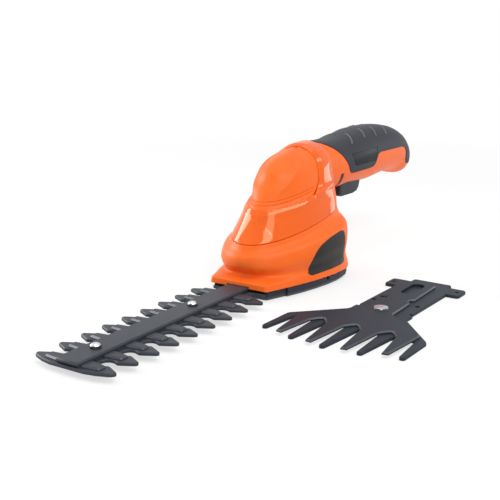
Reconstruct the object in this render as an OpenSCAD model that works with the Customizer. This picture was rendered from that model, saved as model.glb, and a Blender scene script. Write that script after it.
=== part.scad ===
// Cordless grass shears: a powered body with a shrubber blade in its nose and a loose shear blade.
// Millimetres, +Z up. The blade points along -X and the origin is on the floor under the body.

/* [Body] */
// Length of the body from nose to heel
body_l = 99; // [94:1:106]
// Width of the body at its widest
body_w = 77; // [73:1:84]
// Height of the hump above the floor
body_h = 91; // [88:1:96]
// Height of the body's lower edge
edge_z = 7; // [6.8:0.1:7.6]
// Wall of the shells, hood and cap
shell_wall = 2.4; // [2:0.1:2.8]
// How far the hood stands proud of the cap and the neck
hood_proud = 1.8; // [1.2:0.1:2.2]
// Depth of the plates let into the sides
badge_t = 1.0; // [0.8:0.1:1.2]
// How far the plates stand out
badge_proud = 0.35; // [0.2:0.05:0.5]

/* [Handle] */
// Length of the handle from inside the neck to its end
handle_l = 155; // [150:1:165]
// Width of the handle
handle_w = 39; // [37:0.5:43]
// Height of the handle's section
handle_h = 40; // [38:0.5:43]
// Height of the handle's middle above the floor
handle_z = 74; // [72:0.5:76]
// Thickness of the soft grip
grip_t = 1.6; // [1.2:0.1:1.8]
// How far the soft grip stands proud of the handle
grip_proud = 0.4; // [0.2:0.1:0.8]

/* [Trigger and lock] */
// Width of the trigger
trigger_w = 16; // [14:0.5:18]
// Length of the trigger along the handle
trigger_l = 34; // [30:1:36]
// Height of the trigger below its pivot
trigger_drop = 15.5; // [14:0.5:17]
// Diameter of the trigger's pivot pin
trigger_pin_d = 3; // [2.5:0.1:3.5]
// Thickness of the lock-off button along the handle
lock_t = 3.5; // [3:0.1:4]
// Height of the lock-off button
lock_h = 11.5; // [9:0.5:12]

/* [Base] */
// Thickness of the base plate's floor
floor_t = 2.4; // [2:0.1:2.8]
// Wall of the base plate
base_wall = 2.4; // [2:0.1:3]
// How far the base plate lies inside the body's edge
base_inset = 1; // [0.6:0.1:1.6]
// How much narrower the jaw under the nose is, each side
jaw_step = 3.5; // [2.5:0.5:4.5]
// Height of the bevel round the sole
sole_bevel = 2.5; // [2:0.1:3]
// Travel of the base latch
latch_travel = 4; // [3:0.5:4.5]

/* [Drive] */
// Tooth size of the gear pair
gear_module = 0.7; // [0.65:0.01:0.75]
// Teeth of the pinion
pinion_n = 12; // [12:1:12]
// Teeth of the drive gear
gear_n = 48; // [48:1:48]
// Thickness of the drive gear
gear_t = 5; // [4:0.5:6]
// Throw of the crank
crank_throw = 5; // [4:0.1:5.4]
// Diameter of the crank roller
roller_d = 8; // [7:0.1:8.4]
// Diameter of the crank shaft
shaft_d = 5; // [4.5:0.1:5.4]
// Diameter of the motor
motor_d = 27.6; // [25:0.1:27.8]
// Length of the motor can
motor_l = 38; // [34:0.5:40]
// Thickness of the frame's deck
deck_t = 3.5; // [3:0.1:4]

/* [Battery] */
// Diameter of a cell
cell_d = 17; // [15:0.1:17.2]
// Length of a cell
cell_l = 50; // [46:0.5:50.5]

/* [Shrubber blade] */
// Spacing of the teeth
tooth_pitch = 17; // [16:0.1:18]
// Teeth on each side
tooth_n = 9; // [8:1:9]
// Width of the comb, tip to tip
comb_w = 54.8; // [52:0.2:58]
// Thickness of the comb
comb_t = 1.8; // [1.5:0.05:1.9]
// Thickness of the cutter
cutter_t = 1.4; // [1.2:0.05:1.5]
// Width of the cutter across its teeth
cutter_w = 37.6; // [35:0.2:40]
// Width of the cover bar
bar_w = 16.4; // [15:0.1:17]
// Thickness of the cover bar
bar_t = 1.6; // [1.3:0.05:1.7]
// Height of the comb's underside above the floor
comb_z = 3.4; // [3.3:0.05:3.5]
// Diameter of the bar screws' heads
bar_screw_d = 6.4; // [6:0.1:7]

/* [Shear blade] */
// Spacing of the fixed tines
tine_pitch = 22; // [21:0.1:23]
// Reach of the middle tine ahead of the pivot
tine_reach = 85; // [82:0.5:90]
// Width of the shear plate behind its neck
shear_plate_w = 38.6; // [37:0.2:41]
// Thickness of the fixed shear plate
shear_comb_t = 2; // [1.6:0.1:2.4]
// Thickness of the swinging shear blade
shear_cutter_t = 1.6; // [1.3:0.1:2]
// Diameter of the shear pivot's head
pivot_head_d = 9.8; // [9:0.1:11]

/* [Fits] */
// Gap between pieces that move past each other
run_gap = 0.3; // [0.25:0.01:0.35]
// Radial clearance of a shaft in its bush
shaft_gap = 0.04; // [0.02:0.005:0.06]
// Gap between flat blades that slide on each other
blade_gap = 0.05; // [0.03:0.01:0.1]
// Seam between fixed mouldings
seam = 0.12; // [0.08:0.01:0.2]

/* [Hidden] */
$fn = 48;
ring_n = 40;
cut = 1;
reach = 400;

// Colours
orange = "#ee6a33";
gloss_orange = "#f2662a";
dark = "#3f434a";
grip_grey = "#474b53";
blade_grey = "#50545c";
steel = "#c3c7cc";
brass = "#c9a552";
copper = "#b06a3a";
nylon = "#d8d5c8";
board_green = "#2f6b45";
cell_blue = "#3b6ea5";

// Body levels, foot to top: front place along the length, front height, back place, back height, half
// width, where it is widest, the powers that round its front and back, and how far it takes the foot's plan.
nose_share = 0.465;
body_level_shares = [
  [0.000, 0.000, 1.000, 0.000, 1.000, 0.72, 2.6, 2.4, 1.0],
  [0.004, 0.044, 1.000, 0.048, 0.975, 0.72, 2.6, 2.4, 1.0],
  [0.081, 0.083, 1.005, 0.131, 0.930, 0.72, 2.4, 2.4, 0.4],
  [0.025, 0.155, 1.020, 0.250, 0.960, 0.72, 2.2, 2.4, 0.1],
  [0.025, 0.214, 1.030, 0.369, 0.920, 0.72, 2.1, 2.4, 0],
  [0.045, 0.274, 1.015, 0.458, 0.820, 0.70, 2.1, 2.4, 0],
  [0.071, 0.312, 1.010, 0.518, 0.740, 0.68, 2.1, 2.4, 0],
  [0.152, 0.417, 1.030, 0.583, 0.695, 0.66, 2.1, 2.4, 0],
  [0.217, 0.533, 1.050, 0.702, 0.605, 0.62, 2.1, 2.4, 0],
  [0.253, 0.583, 1.050, 0.750, 0.540, 0.62, 2.1, 2.4, 0],
  [0.303, 0.667, 1.040, 0.821, 0.506, 0.60, 2.1, 2.4, 0],
  [0.354, 0.744, 1.030, 0.881, 0.473, 0.60, 2.1, 2.4, 0],
  [0.399, 0.826, 1.020, 0.946, 0.390, 0.58, 2.1, 2.3, 0],
  [0.495, 0.912, 0.990, 0.982, 0.234, 0.56, 2.0, 2.2, 0],
  [0.636, 0.962, 0.930, 0.995, 0.104, 0.52, 2.0, 2.0, 0]];
// Half width of the foot along its length: a straight nose edge with tight corners, then fuller sides
foot_plan_shares = [[0.000, 0.530], [0.012, 0.572], [0.190, 0.735], [0.330, 0.845], [0.460, 0.922],
  [0.600, 0.980], [0.720, 1.000], [0.820, 0.980], [0.900, 0.895], [0.960, 0.730], [0.990, 0.480],
  [1.000, 0.000]];
crease_row = 6;
rim_row = 8;
nose_x = -nose_share * body_l;

function along(share) = nose_x + share * body_l;
function up(share) = edge_z + share * (body_h - edge_z);
function signed_pow(v, p) = sign(v) * pow(abs(v), p);
function rounded_half(k, l) =
  let (d = abs(k - l[5]) / (k < l[5] ? l[5] : 1 - l[5]), p = k < l[5] ? l[6] : l[7])
  pow(max(0, 1 - pow(d, p)), 1 / p);
function level_half(k, l) = (1 - l[8]) * rounded_half(k, l) + l[8] * lookup(k, foot_plan_shares);

// One closed level outline, grown outwards by grow
function level_ring(row, grow) =
  let (l = body_level_shares[row], xf = along(l[0]) - grow, xb = along(l[2]) + grow,
       zf = up(l[1]) + grow * pow(l[1], 3), zb = up(l[3]) + grow * pow(l[3], 3),
       w = l[4] * body_w / 2 + grow)
  [for (i = [0 : ring_n - 1])
    let (t = 360 * i / ring_n, k = (1 + cos(t)) / 2)
    [xf + (xb - xf) * k, sign(sin(t)) * w * level_half(k, l), zf + (zb - zf) * k]];
function foot_outline(grow) = [for (p = level_ring(0, grow)) [p[0], p[1]]];
function dropped(ring, by) = [for (p = ring) [p[0], p[1], p[2] - by]];

// Handle stations: place along the handle, top, bottom and half width
neck_share = 0.919;
neck_x = along(neck_share);
handle_power = 2.4;
handle_station_shares = [
  [0.000, 0.410, -0.350, 0.790], [0.065, 0.410, -0.500, 0.860], [0.142, 0.400, -0.500, 0.920],
  [0.245, 0.415, -0.470, 0.970], [0.355, 0.460, -0.485, 1.000], [0.465, 0.495, -0.510, 1.000],
  [0.580, 0.500, -0.485, 1.000], [0.677, 0.475, -0.470, 0.995], [0.755, 0.425, -0.485, 0.975],
  [0.819, 0.350, -0.475, 0.925], [0.871, 0.265, -0.525, 0.870], [0.923, 0.135, -0.540, 0.770],
  [0.968, 0.010, -0.480, 0.620], [1.000, -0.110, -0.380, 0.420]];
function handle_at(share) = neck_x + share * handle_l;
function handle_up(share) = handle_z + share * handle_h;
function handle_ring(row, grow) =
  let (s = handle_station_shares[row], x = handle_at(s[0]) + grow * pow(s[0], 6),
       top = handle_up(s[1]) + grow, low = handle_up(s[2]) - grow, w = s[3] * handle_w / 2 + grow)
  [for (i = [0 : ring_n - 1])
    let (t = 360 * i / ring_n)
    [x, w * signed_pow(cos(t), 2 / handle_power),
     (top + low) / 2 + (top - low) / 2 * signed_pow(sin(t), 2 / handle_power)]];
handle_end_x = handle_at(1);

// Side-view zones that divide the housing, written as shares of the body's or the handle's size
hood_rear_shares = [[0.818, 0.500], [0.860, 0.620], [0.890, 0.720], [0.899, 0.830], [0.890, 1.100]];
cap_rear_shares = [[0.640, 0.655], [0.672, 0.680], [0.697, 0.715], [0.712, 0.770], [0.770, 1.100]];
badge_shares = [[0.377, 0.065], [0.380, 0.100], [0.409, 0.185], [0.466, 0.250], [0.560, 0.293],
  [0.690, 0.323], [0.755, 0.327], [0.778, 0.309], [0.790, 0.240], [0.797, 0.150], [0.790, 0.085],
  [0.775, 0.065], [0.675, 0.056], [0.480, 0.052], [0.400, 0.050]];
grip_edge_shares = [[-0.030, 0.800], [-0.006, 0.465], [0.045, 0.380], [0.090, 0.275], [0.125, 0.165],
  [0.155, 0.043], [0.178, -0.070], [0.190, -0.165], [0.205, -0.205], [0.235, -0.215],
  [0.400, -0.215], [0.430, -0.200], [0.448, -0.155], [0.462, -0.060], [0.475, 0.010],
  [0.500, 0.045], [0.845, 0.030], [0.892, -0.030], [0.914, -0.130], [0.920, -0.700],
  [1.100, -0.700], [1.100, 0.800]];
grip_badge_shares = [[0.206, 0.145], [0.460, 0.150], [0.463, 0.130], [0.445, -0.075], [0.430, -0.090],
  [0.245, -0.095], [0.232, -0.080], [0.203, 0.125]];

function level_line(row, rise) =
  let (l = body_level_shares[row], xf = along(l[0]), xb = along(l[2]), zf = up(l[1]), zb = up(l[3]))
  [xf, zf + rise, (zb - zf) / (xb - xf)];
function body_zone(row, rise, rear) =
  let (line = level_line(row, rise), x0 = line[0] - body_l)
  concat([[x0, line[1] + (x0 - line[0]) * line[2]]],
    [for (s = rear) [along(s[0]), up(s[1])]], [[x0, up(rear[len(rear) - 1][1])]]);
hood_zone = body_zone(crease_row, 0, hood_rear_shares);
cap_rise = 2.2;
cap_zone = body_zone(rim_row, cap_rise, cap_rear_shares);
badge_zone = [for (s = badge_shares) [along(s[0]), up(s[1])]];
grip_zone = [for (s = grip_edge_shares) [handle_at(s[0]), handle_up(s[1])]];
grip_badge_zone = [for (s = grip_badge_shares) [handle_at(s[0]), handle_up(s[1])]];

// Blade stack, its root held in the nose and its tip placed by its teeth
root_in = 6;
root_l = 6.3;
root_w = 40;
root_chamfer = 1.5;
comb_root_x = nose_x + root_in;
cutter_z = comb_z + comb_t + blade_gap;
bar_z = cutter_z + cutter_t + blade_gap;
bar_top_z = bar_z + bar_t;
front_edge = 6.5;
comb_tail_w = 28;
bar_in = 2;
bar_end_x = comb_root_x + bar_in;
bar_corner = 2;
bar_screw_first = 15.5;
bar_screw_pitches = 5;
bar_shank_d = 3.5;
bar_head_h = 1.9;
nut_d = 6.4;
nut_t = 2.3;
spacer_d = 6;
slot_side_gap = 0.1;
locate_d = 4;
locate_gap = 0.15;
locate_in = 7;
locate_x = comb_root_x + locate_in;
locate_y = 10.5;

// Tooth outline, front to back: shares of the pitch and of the reach past the axis
comb_tooth_shares = [[-0.253, 0.520], [-0.253, 0.560], [-0.330, 0.680], [-0.300, 0.720], [-0.075, 0.985],
  [0.000, 1.000], [0.075, 0.985], [0.300, 0.720], [0.330, 0.680], [0.253, 0.560], [0.253, 0.520]];
first_tooth_front_shares = [[-0.382, 0.440], [-0.300, 0.680], [-0.147, 0.915]];
cutter_tooth_shares = [[-0.240, 0.400], [-0.235, 0.520], [-0.180, 0.955], [-0.140, 1.000],
  [0.140, 1.000], [0.180, 0.955], [0.235, 0.520], [0.240, 0.400]];
neck_half_share = comb_tooth_shares[0][0];
gullet_share = 0.247;
gullet_steps = 8;
first_tip_row = 4;
blade_tip_x = comb_root_x - root_l - (tooth_n + neck_half_share) * tooth_pitch;
blade_front_x = blade_tip_x - front_edge;
bar_screw_xs = [for (i = [0 : 1]) blade_tip_x + bar_screw_first + i * bar_screw_pitches * tooth_pitch];
cutter_spine_w = 15;
cutter_front = 1.5;

// Drive train
crank_in = 38;
gear_x = nose_x + crank_in;
tail_back = 28;
comb_tail_x = gear_x + tail_back;
centre_distance = gear_module * (gear_n + pinion_n) / 2;
motor_x = gear_x + centre_distance;
roller_gap = 0.35;
roller_z = comb_z + comb_t + roller_gap;
gear_z = 13;
deck_z = 22;
tower_gap = 0.7;
tower_d = 2 * (centre_distance - motor_d / 2 - tower_gap);
tower_top = 40;
bush_d = 8;
bush_l = 4.5;
crank_pin_d = 3.4;
circlip_t = 0.8;
circlip_d = 7.4;
shaft_top = tower_top + run_gap + 2 * circlip_t;
addendum_share = 0.8;
dedendum_share = 1.25;
pressure_angle = 20;
backlash = 0.1;
pinion_t = 7;
pinion_under = 0.5;
pinion_z = gear_z - pinion_under;
motor_shaft_d = 3;
shaft_over = 1;
can_wall = 1.2;
can_floor = 2;
armature_gap = 1.6;
endbell_t = 4;
tab_t = 0.8;
tab_w = 3;
tab_h = 5;
tab_y = 8;
motor_z = deck_z + deck_t;
// The motor's length is given for this body height and follows it
motor_body_h = 91;
motor_long = motor_l * body_h / motor_body_h;
motor_top = motor_z + motor_long;
motor_screw_r = 8;
motor_screw_d = 2.5;
motor_screw_head_d = 4.4;
motor_screw_head_t = 1.6;
motor_screw_bite = 1.8;

// Window in the cutter's tail: the roller may stand anywhere while the cutter stands anywhere
cutter_travel = crank_throw;
window_l = roller_d + 2 * crank_throw + 2 * cutter_travel + 2 * run_gap;
window_w = roller_d + 2 * crank_throw + 2 * run_gap;
tail_rim = 3.5;
tail_taper = 4.2;
cutter_tail_front = gear_x - window_l / 2 - tail_rim;
cutter_tail_rear = gear_x + window_l / 2 + tail_rim;
cutter_tail_w = window_w + 2 * tail_rim;

// Base plate
base_top = edge_z - seam;
slice_t = 0.4;
jaw_in = 18;
jaw_x = nose_x + jaw_in;
rib_w = 6;
heel_x = along(1) - base_inset - base_wall;

// Base latch, set out from the heel, and the beam that it hooks over
latch_room = 1;
latch_post_t = 3;
latch_post_x = heel_x - latch_room - latch_travel - latch_post_t;
beam_l = 6.3;
beam_x = latch_post_x - run_gap - latch_travel - beam_l;
beam_z = 5.5;
beam_h = 3.5;
latch_lead = 4;
latch_x = beam_x - latch_lead;
latch_pad_l = 10;
latch_pad_w = 12;
latch_plate_w = 17;
latch_plate_t = 1.5;
latch_hook_t = 1.5;
latch_hook_w = 10;
latch_bite = 2.7;
pad_sink = 0.4;
latch_plate_z = floor_t + run_gap;
latch_hook_z = beam_z + beam_h + run_gap;
latch_slot_l = latch_pad_l + latch_travel + 2 * run_gap;
latch_spring_d = 4.4;
spring_wire = 0.6;

// Frame
leg_d = 6;
leg_ahead = 12;
leg_front_y = 19;
leg_rear_y = 20;
leg_places = [[gear_x - leg_ahead, leg_front_y], [beam_x + beam_l / 2, leg_rear_y]];
deck_over = 4;
deck_front_x = leg_places[0][0] - deck_over;
deck_rear_x = leg_places[1][0] + deck_over;
deck_half_w = 23;
deck_corner = 8;

// Trigger train
pivot_place_share = 0.242;
pivot_height_share = -0.3125;
pivot_x = handle_at(pivot_place_share);
pivot_z = handle_up(pivot_height_share);
trigger_hub_d = 6.4;
trigger_front = 4.5;
trigger_profile_shares = [[0.010, 0.000], [-0.005, 0.800], [0.040, 0.925], [0.120, 0.976], [0.680, 1.000],
  [0.840, 0.945], [0.935, 0.790], [0.988, 0.515], [0.988, 0.333], [0.360, 0.333], [0.260, 0.120]];
trigger_top_share = 0.333;
trigger_slot_gap = 0.5;
trigger_swing_room = 2;
lug_t = 2.6;
lug_y = trigger_w / 2 + run_gap;
pin_bite = 1.5;
cradle_height_share = -0.21;
cradle_floor_z = handle_up(cradle_height_share);
spring_place = 22;
trigger_spring_d = 6;
lock_place_share = 0.125;
lock_height_share = -0.322;
lock_x = handle_at(lock_place_share);
lock_z = handle_up(lock_height_share);
lock_sink = 0.4;
switch_l = 11;
switch_w = 10;
switch_h = 5;
switch_place = 6;

// Battery and charging; a cell's length is given for this handle length and follows it
cell_handle_l = 155;
cell_long = cell_l * handle_l / cell_handle_l;
cell_gap = 1;
cell_place_share = 0.165;
cradle_t = 1.2;
cell_x = handle_at(cell_place_share);
cell_z = cradle_floor_z + cradle_t + seam + cell_d / 2;
cells_l = 2 * cell_long + cell_gap;
contact_t = 0.3;
contact_h = 10;
cradle_end = 1.2;
board_l = 34;
board_w = 18;
board_t = 1.6;
board_place_share = 0.52;
board_x = handle_at(board_place_share);
chip_l = 8;
chip_h = 2;
chip_shares = [0.5, 0.8];
jack_d = 8.4;
jack_l = 15;
jack_bore_d = 5.5;
jack_depth = 10;
jack_height_share = -0.245;
jack_z = handle_up(jack_height_share);
jack_sink = 0.5;

// Housing screws, along Y in wells of the right shell
body_screw_shares = [[0.131, 0.155], [0.939, 0.214]];
handle_screw_shares = [[0.085, 0.150], [0.516, -0.412], [0.846, -0.350]];
screw_places = concat([for (s = body_screw_shares) [along(s[0]), up(s[1])]],
  [for (s = handle_screw_shares) [handle_at(s[0]), handle_up(s[1])]]);
screw_d = 3;
screw_head_d = 6;
screw_head_t = 2;
screw_seat_y = 6;
screw_l = 14;
well_wall = 1.6;
drive_slot_w = 0.9;
drive_slot_d = 0.8;
pilot_gap = 0.05;

// Loose shear blade
shear_ahead = 4.7;
shear_apart = 54.1;
shear_x = gear_x - shear_ahead;
shear_y = -body_w / 2 - shear_apart;
shear_turn = -2.2;
shear_pivot_ahead = 13.6;
tine_reach_shares = [0.894, 0.970, 1.000, 0.970, 0.894];
tine_n = 5;
tine_base_share = 0.565;
tine_base_x = -tine_base_share * tine_reach;
tine_base_w = 8.6;
tine_tip_w = 3.5;
shoulder_share = 0.553;
shoulder_over = 1.5;
shear_neck_share = 0.22;
shear_step = 1.2;
shear_step_x = -8.5;
shear_tail_x = 63;
shear_tail_w = 27.2;
ear_x = 42.5;
ear_l = 14.5;
ear_over = 8.3;
ear_round = 2.5;
swing_tip_shares = [0.94, 1, 1, 0.94];
swing_n = tine_n - 1;
swing_base_share = 0.62;
swing_base_x = -swing_base_share * tine_reach;
swing_base_w = 11;
swing_tip_w = 3.7;
swing_slant = 0.6;
swing_rest = 2.3;
swing_fan_share = 0.52;
tongue_w = 20;
tongue_x = 53;
slot_w = 9;
slot_l = 25;
slot_x = 23;
notch_x = 7.5;
notch_l = 7;
notch_w = 2.2;
pivot_shank_d = 6.4;
pivot_head_h = 1.7;
pivot_dome_share = 0.6;
shear_hole_d = 3.2;
shear_hole_places = [[14.5, 13.4], [6.5, 15.2], [7.5, -14.4]];
shear_cutter_z = shear_comb_t + blade_gap;

// Shared shapes
module span(a, b) {
  n = len(a);
  sides = [for (i = [0 : n - 1], k = [0, 1])
    k == 0 ? [i, (i + 1) % n, n + (i + 1) % n] : [i, n + (i + 1) % n, n + i]];
  low = [for (i = [0 : n - 1]) n - 1 - i];
  high = [for (i = [0 : n - 1]) n + i];
  hull() polyhedron(points = concat(a, b), faces = concat(sides, [low, high]));
}
module chain(rings) {
  for (i = [0 : len(rings) - 2]) span(rings[i], rings[i + 1]);
}
module body_form(grow, upper_grow) {
  rows = len(body_level_shares);
  chain([for (r = [0 : rows - 1]) level_ring(r, r > rim_row ? upper_grow : grow)]);
}
module body_hollow() {
  chain([dropped(level_ring(0, -shell_wall), cut), level_ring(0, -shell_wall)]);
  body_form(-shell_wall, -shell_wall);
}
module handle_form(grow) {
  chain([for (r = [0 : len(handle_station_shares) - 1]) handle_ring(r, grow)]);
}
module side_zone(points) {
  rotate([90, 0, 0]) linear_extrude(height = 2 * reach, center = true) polygon(points);
}
module side_zone_offset(points, by) {
  rotate([90, 0, 0]) linear_extrude(height = 2 * reach, center = true) offset(delta = by) polygon(points);
}
module block(x0, x1, y0, y1, z0, z1) {
  translate([min(x0, x1), min(y0, y1), min(z0, z1)]) cube([abs(x1 - x0), abs(y1 - y0), abs(z1 - z0)]);
}
module across(x, z, d, y0, y1) {
  translate([x, y0, z]) rotate([-90, 0, 0]) cylinder(d = d, h = y1 - y0);
}
module tube(d_out, d_in, z0, z1) {
  translate([0, 0, z0]) difference() {
    cylinder(d = d_out, h = z1 - z0);
    translate([0, 0, -cut]) cylinder(d = d_in, h = z1 - z0 + 2 * cut);
  }
}
module plate(points, z0, t) {
  translate([0, 0, z0]) linear_extrude(height = t) polygon(points);
}
module jack_hole() {
  translate([handle_end_x - jack_l, 0, jack_z]) rotate([0, 90, 0])
    cylinder(d = jack_d + 2 * seam, h = jack_l + reach);
}
module trigger_slot() {
  block(pivot_x - trigger_front - trigger_slot_gap, pivot_x + trigger_l - trigger_front + trigger_swing_room,
    -trigger_w / 2 - trigger_slot_gap, trigger_w / 2 + trigger_slot_gap, 0, pivot_z);
}
module lock_slot(grow) {
  block(lock_x - lock_t / 2 - grow, lock_x + lock_t / 2 + grow, -reach, reach,
    lock_z - lock_h / 2 - grow, lock_z + lock_h / 2 + grow);
}

// Housing
module shell_side(side) {
  difference() {
    union() {
      difference() {
        union() {
          body_form(0, 0);
          handle_form(0);
        }
        body_hollow();
        handle_form(-shell_wall);
      }
      intersection() {
        union() {
          body_form(-cut, -cut);
          handle_form(-cut);
        }
        for (p = screw_places)
          across(p[0], p[1], screw_head_d + 2 * (run_gap + well_wall), -reach, reach);
      }
    }
    side_zone(hood_zone);
    difference() {
      side_zone(grip_zone);
      handle_form(-grip_t - seam);
    }
    difference() {
      side_zone_offset(badge_zone, seam);
      body_form(-badge_t - seam, 0);
    }
    trigger_slot();
    lock_slot(run_gap);
    jack_hole();
    block(nose_x - reach, jaw_x, -bar_w / 2 - run_gap, bar_w / 2 + run_gap,
      -reach, bar_top_z + run_gap);
    for (p = screw_places) {
      across(p[0], p[1], screw_d + 2 * pilot_gap, screw_seat_y - screw_l - cut, screw_seat_y + cut);
      across(p[0], p[1], screw_head_d + 2 * run_gap, screw_seat_y, reach);
    }
    block(-reach, reach, side * seam / 2, -side * reach, -reach, reach);
  }
}

module left_shell() {
  color(orange) shell_side(-1);
}
module right_shell() {
  color(orange) shell_side(1);
}
module motor_hood() {
  color(gloss_orange) difference() {
    intersection() {
      body_form(0, hood_proud);
      side_zone_offset(hood_zone, -seam);
    }
    body_form(-shell_wall, hood_proud - shell_wall);
    side_zone(cap_zone);
  }
}
module hood_cap() {
  color(orange) difference() {
    intersection() {
      body_form(0, 0);
      side_zone_offset(cap_zone, -seam);
    }
    body_form(-shell_wall, -shell_wall);
  }
}
module side_badges() {
  color(dark) intersection() {
    difference() {
      body_form(badge_proud, 0);
      body_form(-badge_t, 0);
    }
    side_zone(badge_zone);
  }
}
module grip_overmould() {
  color(grip_grey) difference() {
    intersection() {
      handle_form(grip_proud);
      side_zone_offset(grip_zone, -seam);
    }
    handle_form(-grip_t);
    difference() {
      side_zone_offset(grip_badge_zone, seam);
      handle_form(grip_proud - badge_t - seam);
    }
    jack_hole();
  }
}
module grip_badges() {
  color(dark) intersection() {
    difference() {
      handle_form(grip_proud + badge_proud);
      handle_form(grip_proud - badge_t);
    }
    side_zone(grip_badge_zone);
  }
}

// Base plate and its latch
module sole(grow) {
  plate(foot_outline(grow - sole_bevel), 0, slice_t);
  hull() {
    plate(foot_outline(grow - sole_bevel), slice_t / 2, slice_t / 2);
    plate(foot_outline(grow), sole_bevel, slice_t);
  }
  plate(foot_outline(grow), sole_bevel, base_top - sole_bevel);
}
module behind_jaw(wall) {
  block(jaw_x + wall, reach, -reach, reach, -reach, reach);
}
module base_plate() {
  color(dark) {
    difference() {
      union() {
        sole(-base_inset - jaw_step);
        intersection() {
          sole(-base_inset);
          behind_jaw(0);
        }
      }
      plate(foot_outline(-base_inset - jaw_step - base_wall), floor_t, reach);
      intersection() {
        plate(foot_outline(-base_inset - base_wall), floor_t, reach);
        behind_jaw(base_wall);
      }
      block(nose_x - reach, jaw_x, -root_w / 2 - run_gap, root_w / 2 + run_gap, comb_z - seam, reach);
      block(latch_x - run_gap, latch_x - run_gap + latch_slot_l, -latch_pad_w / 2 - run_gap,
        latch_pad_w / 2 + run_gap, -cut, floor_t + cut);
    }
    for (s = [-1, 1]) translate([0, s * locate_y, 0]) {
      block(comb_root_x, comb_tail_x - rib_w, -rib_w / 2, rib_w / 2, cut, comb_z);
      translate([locate_x, 0, cut]) cylinder(d = locate_d, h = comb_z + comb_t - run_gap - cut);
    }
  }
}
module base_latch() {
  color(dark) {
    block(latch_x, latch_x + latch_pad_l, -latch_pad_w / 2, latch_pad_w / 2, pad_sink,
      latch_plate_z + latch_plate_t);
    block(latch_x - latch_post_t, latch_post_x + latch_post_t, -latch_plate_w / 2, latch_plate_w / 2,
      latch_plate_z, latch_plate_z + latch_plate_t);
    block(latch_post_x, latch_post_x + latch_post_t, -latch_hook_w / 2, latch_hook_w / 2,
      latch_plate_z, latch_hook_z + latch_hook_t);
    block(beam_x + beam_l - latch_bite, latch_post_x + latch_post_t, -latch_hook_w / 2, latch_hook_w / 2,
      latch_hook_z, latch_hook_z + latch_hook_t);
  }
}
module latch_spring() {
  color(steel) translate([latch_post_x + latch_post_t + seam, 0, base_top]) rotate([0, 90, 0])
    tube(latch_spring_d, latch_spring_d - 2 * spring_wire, 0, latch_room + latch_travel - 2 * seam);
}

// Trigger, lock and switch
module trigger() {
  points = [for (s = trigger_profile_shares)
    [pivot_x - trigger_front + s[0] * trigger_l, pivot_z - s[1] * trigger_drop]];
  color(dark) difference() {
    union() {
      rotate([90, 0, 0]) linear_extrude(height = trigger_w, center = true) polygon(points);
      across(pivot_x, pivot_z, trigger_hub_d, -trigger_w / 2, trigger_w / 2);
    }
    across(pivot_x, pivot_z, trigger_pin_d + 2 * shaft_gap, -trigger_w, trigger_w);
  }
}
module trigger_pin() {
  color(steel) across(pivot_x, pivot_z, trigger_pin_d, -lug_y - pin_bite, lug_y + pin_bite);
}
module trigger_spring() {
  color(steel) translate([pivot_x + spring_place, 0, 0])
    tube(trigger_spring_d, trigger_spring_d - 2 * spring_wire,
      pivot_z - trigger_top_share * trigger_drop + seam, cradle_floor_z - seam);
}
module lock_button() {
  color(dark) intersection() {
    handle_form(-lock_sink);
    lock_slot(0);
  }
}
module switch_body() {
  x = pivot_x + switch_place;
  color(dark) block(x, x + switch_l, -switch_w / 2, switch_w / 2, cradle_floor_z - switch_h,
    cradle_floor_z - seam);
}

// Battery and charging
module cell_row(d) {
  for (i = [0 : 1]) translate([cell_x + i * (cell_long + cell_gap), 0, cell_z]) rotate([0, 90, 0])
    cylinder(d = d, h = cell_long);
}
module battery_cells() {
  color(cell_blue) cell_row(cell_d);
}
module cell_contacts() {
  gap = (cell_gap - contact_t) / 2;
  color(steel) for (x = [cell_x - seam - contact_t, cell_x + cell_long + gap, cell_x + cells_l + seam])
    block(x, x + contact_t, -contact_h / 2, contact_h / 2, cell_z - contact_h / 2, cell_z + contact_h / 2);
}
module cell_cradle() {
  color(nylon) difference() {
    intersection() {
      handle_form(-shell_wall - seam);
      union() {
        block(cell_x - cradle_end, cell_x + cells_l + cradle_end, -reach, reach, cradle_floor_z, cell_z);
        for (s = [-1, 1])
          block(pivot_x - trigger_hub_d / 2, pivot_x + trigger_hub_d / 2, s * lug_y, s * (lug_y + lug_t),
            pivot_z - trigger_hub_d / 2, cradle_floor_z + cut);
      }
    }
    translate([-seam, 0, 0]) cell_row(cell_d + 2 * seam);
    translate([seam, 0, 0]) cell_row(cell_d + 2 * seam);
    block(cell_x - cradle_end - cut, cell_x + cells_l + cradle_end + cut, -contact_h / 2 - seam,
      contact_h / 2 + seam, cell_z - contact_h / 2 - seam, cell_z + cut);
    across(pivot_x, pivot_z, trigger_pin_d + 2 * pilot_gap, -reach, reach);
    for (p = screw_places)
      across(p[0], p[1], screw_head_d + 2 * (run_gap + well_wall + seam), -reach, reach);
  }
}
module circuit_board() {
  top = cradle_floor_z - seam;
  color(board_green) {
    block(board_x, board_x + board_l, -board_w / 2, board_w / 2, top - board_t, top);
    for (s = chip_shares) translate([board_x + s * board_l, 0, 0])
      block(-chip_l / 2, chip_l / 2, -chip_l / 2, chip_l / 2, top - board_t - chip_h, top - board_t);
  }
}
module charge_socket() {
  color(dark) translate([handle_end_x - jack_l, 0, jack_z]) rotate([0, 90, 0]) difference() {
    cylinder(d = jack_d, h = jack_l - jack_sink);
    translate([0, 0, jack_l - jack_sink - jack_depth]) cylinder(d = jack_bore_d, h = jack_depth + cut);
  }
}

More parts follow.
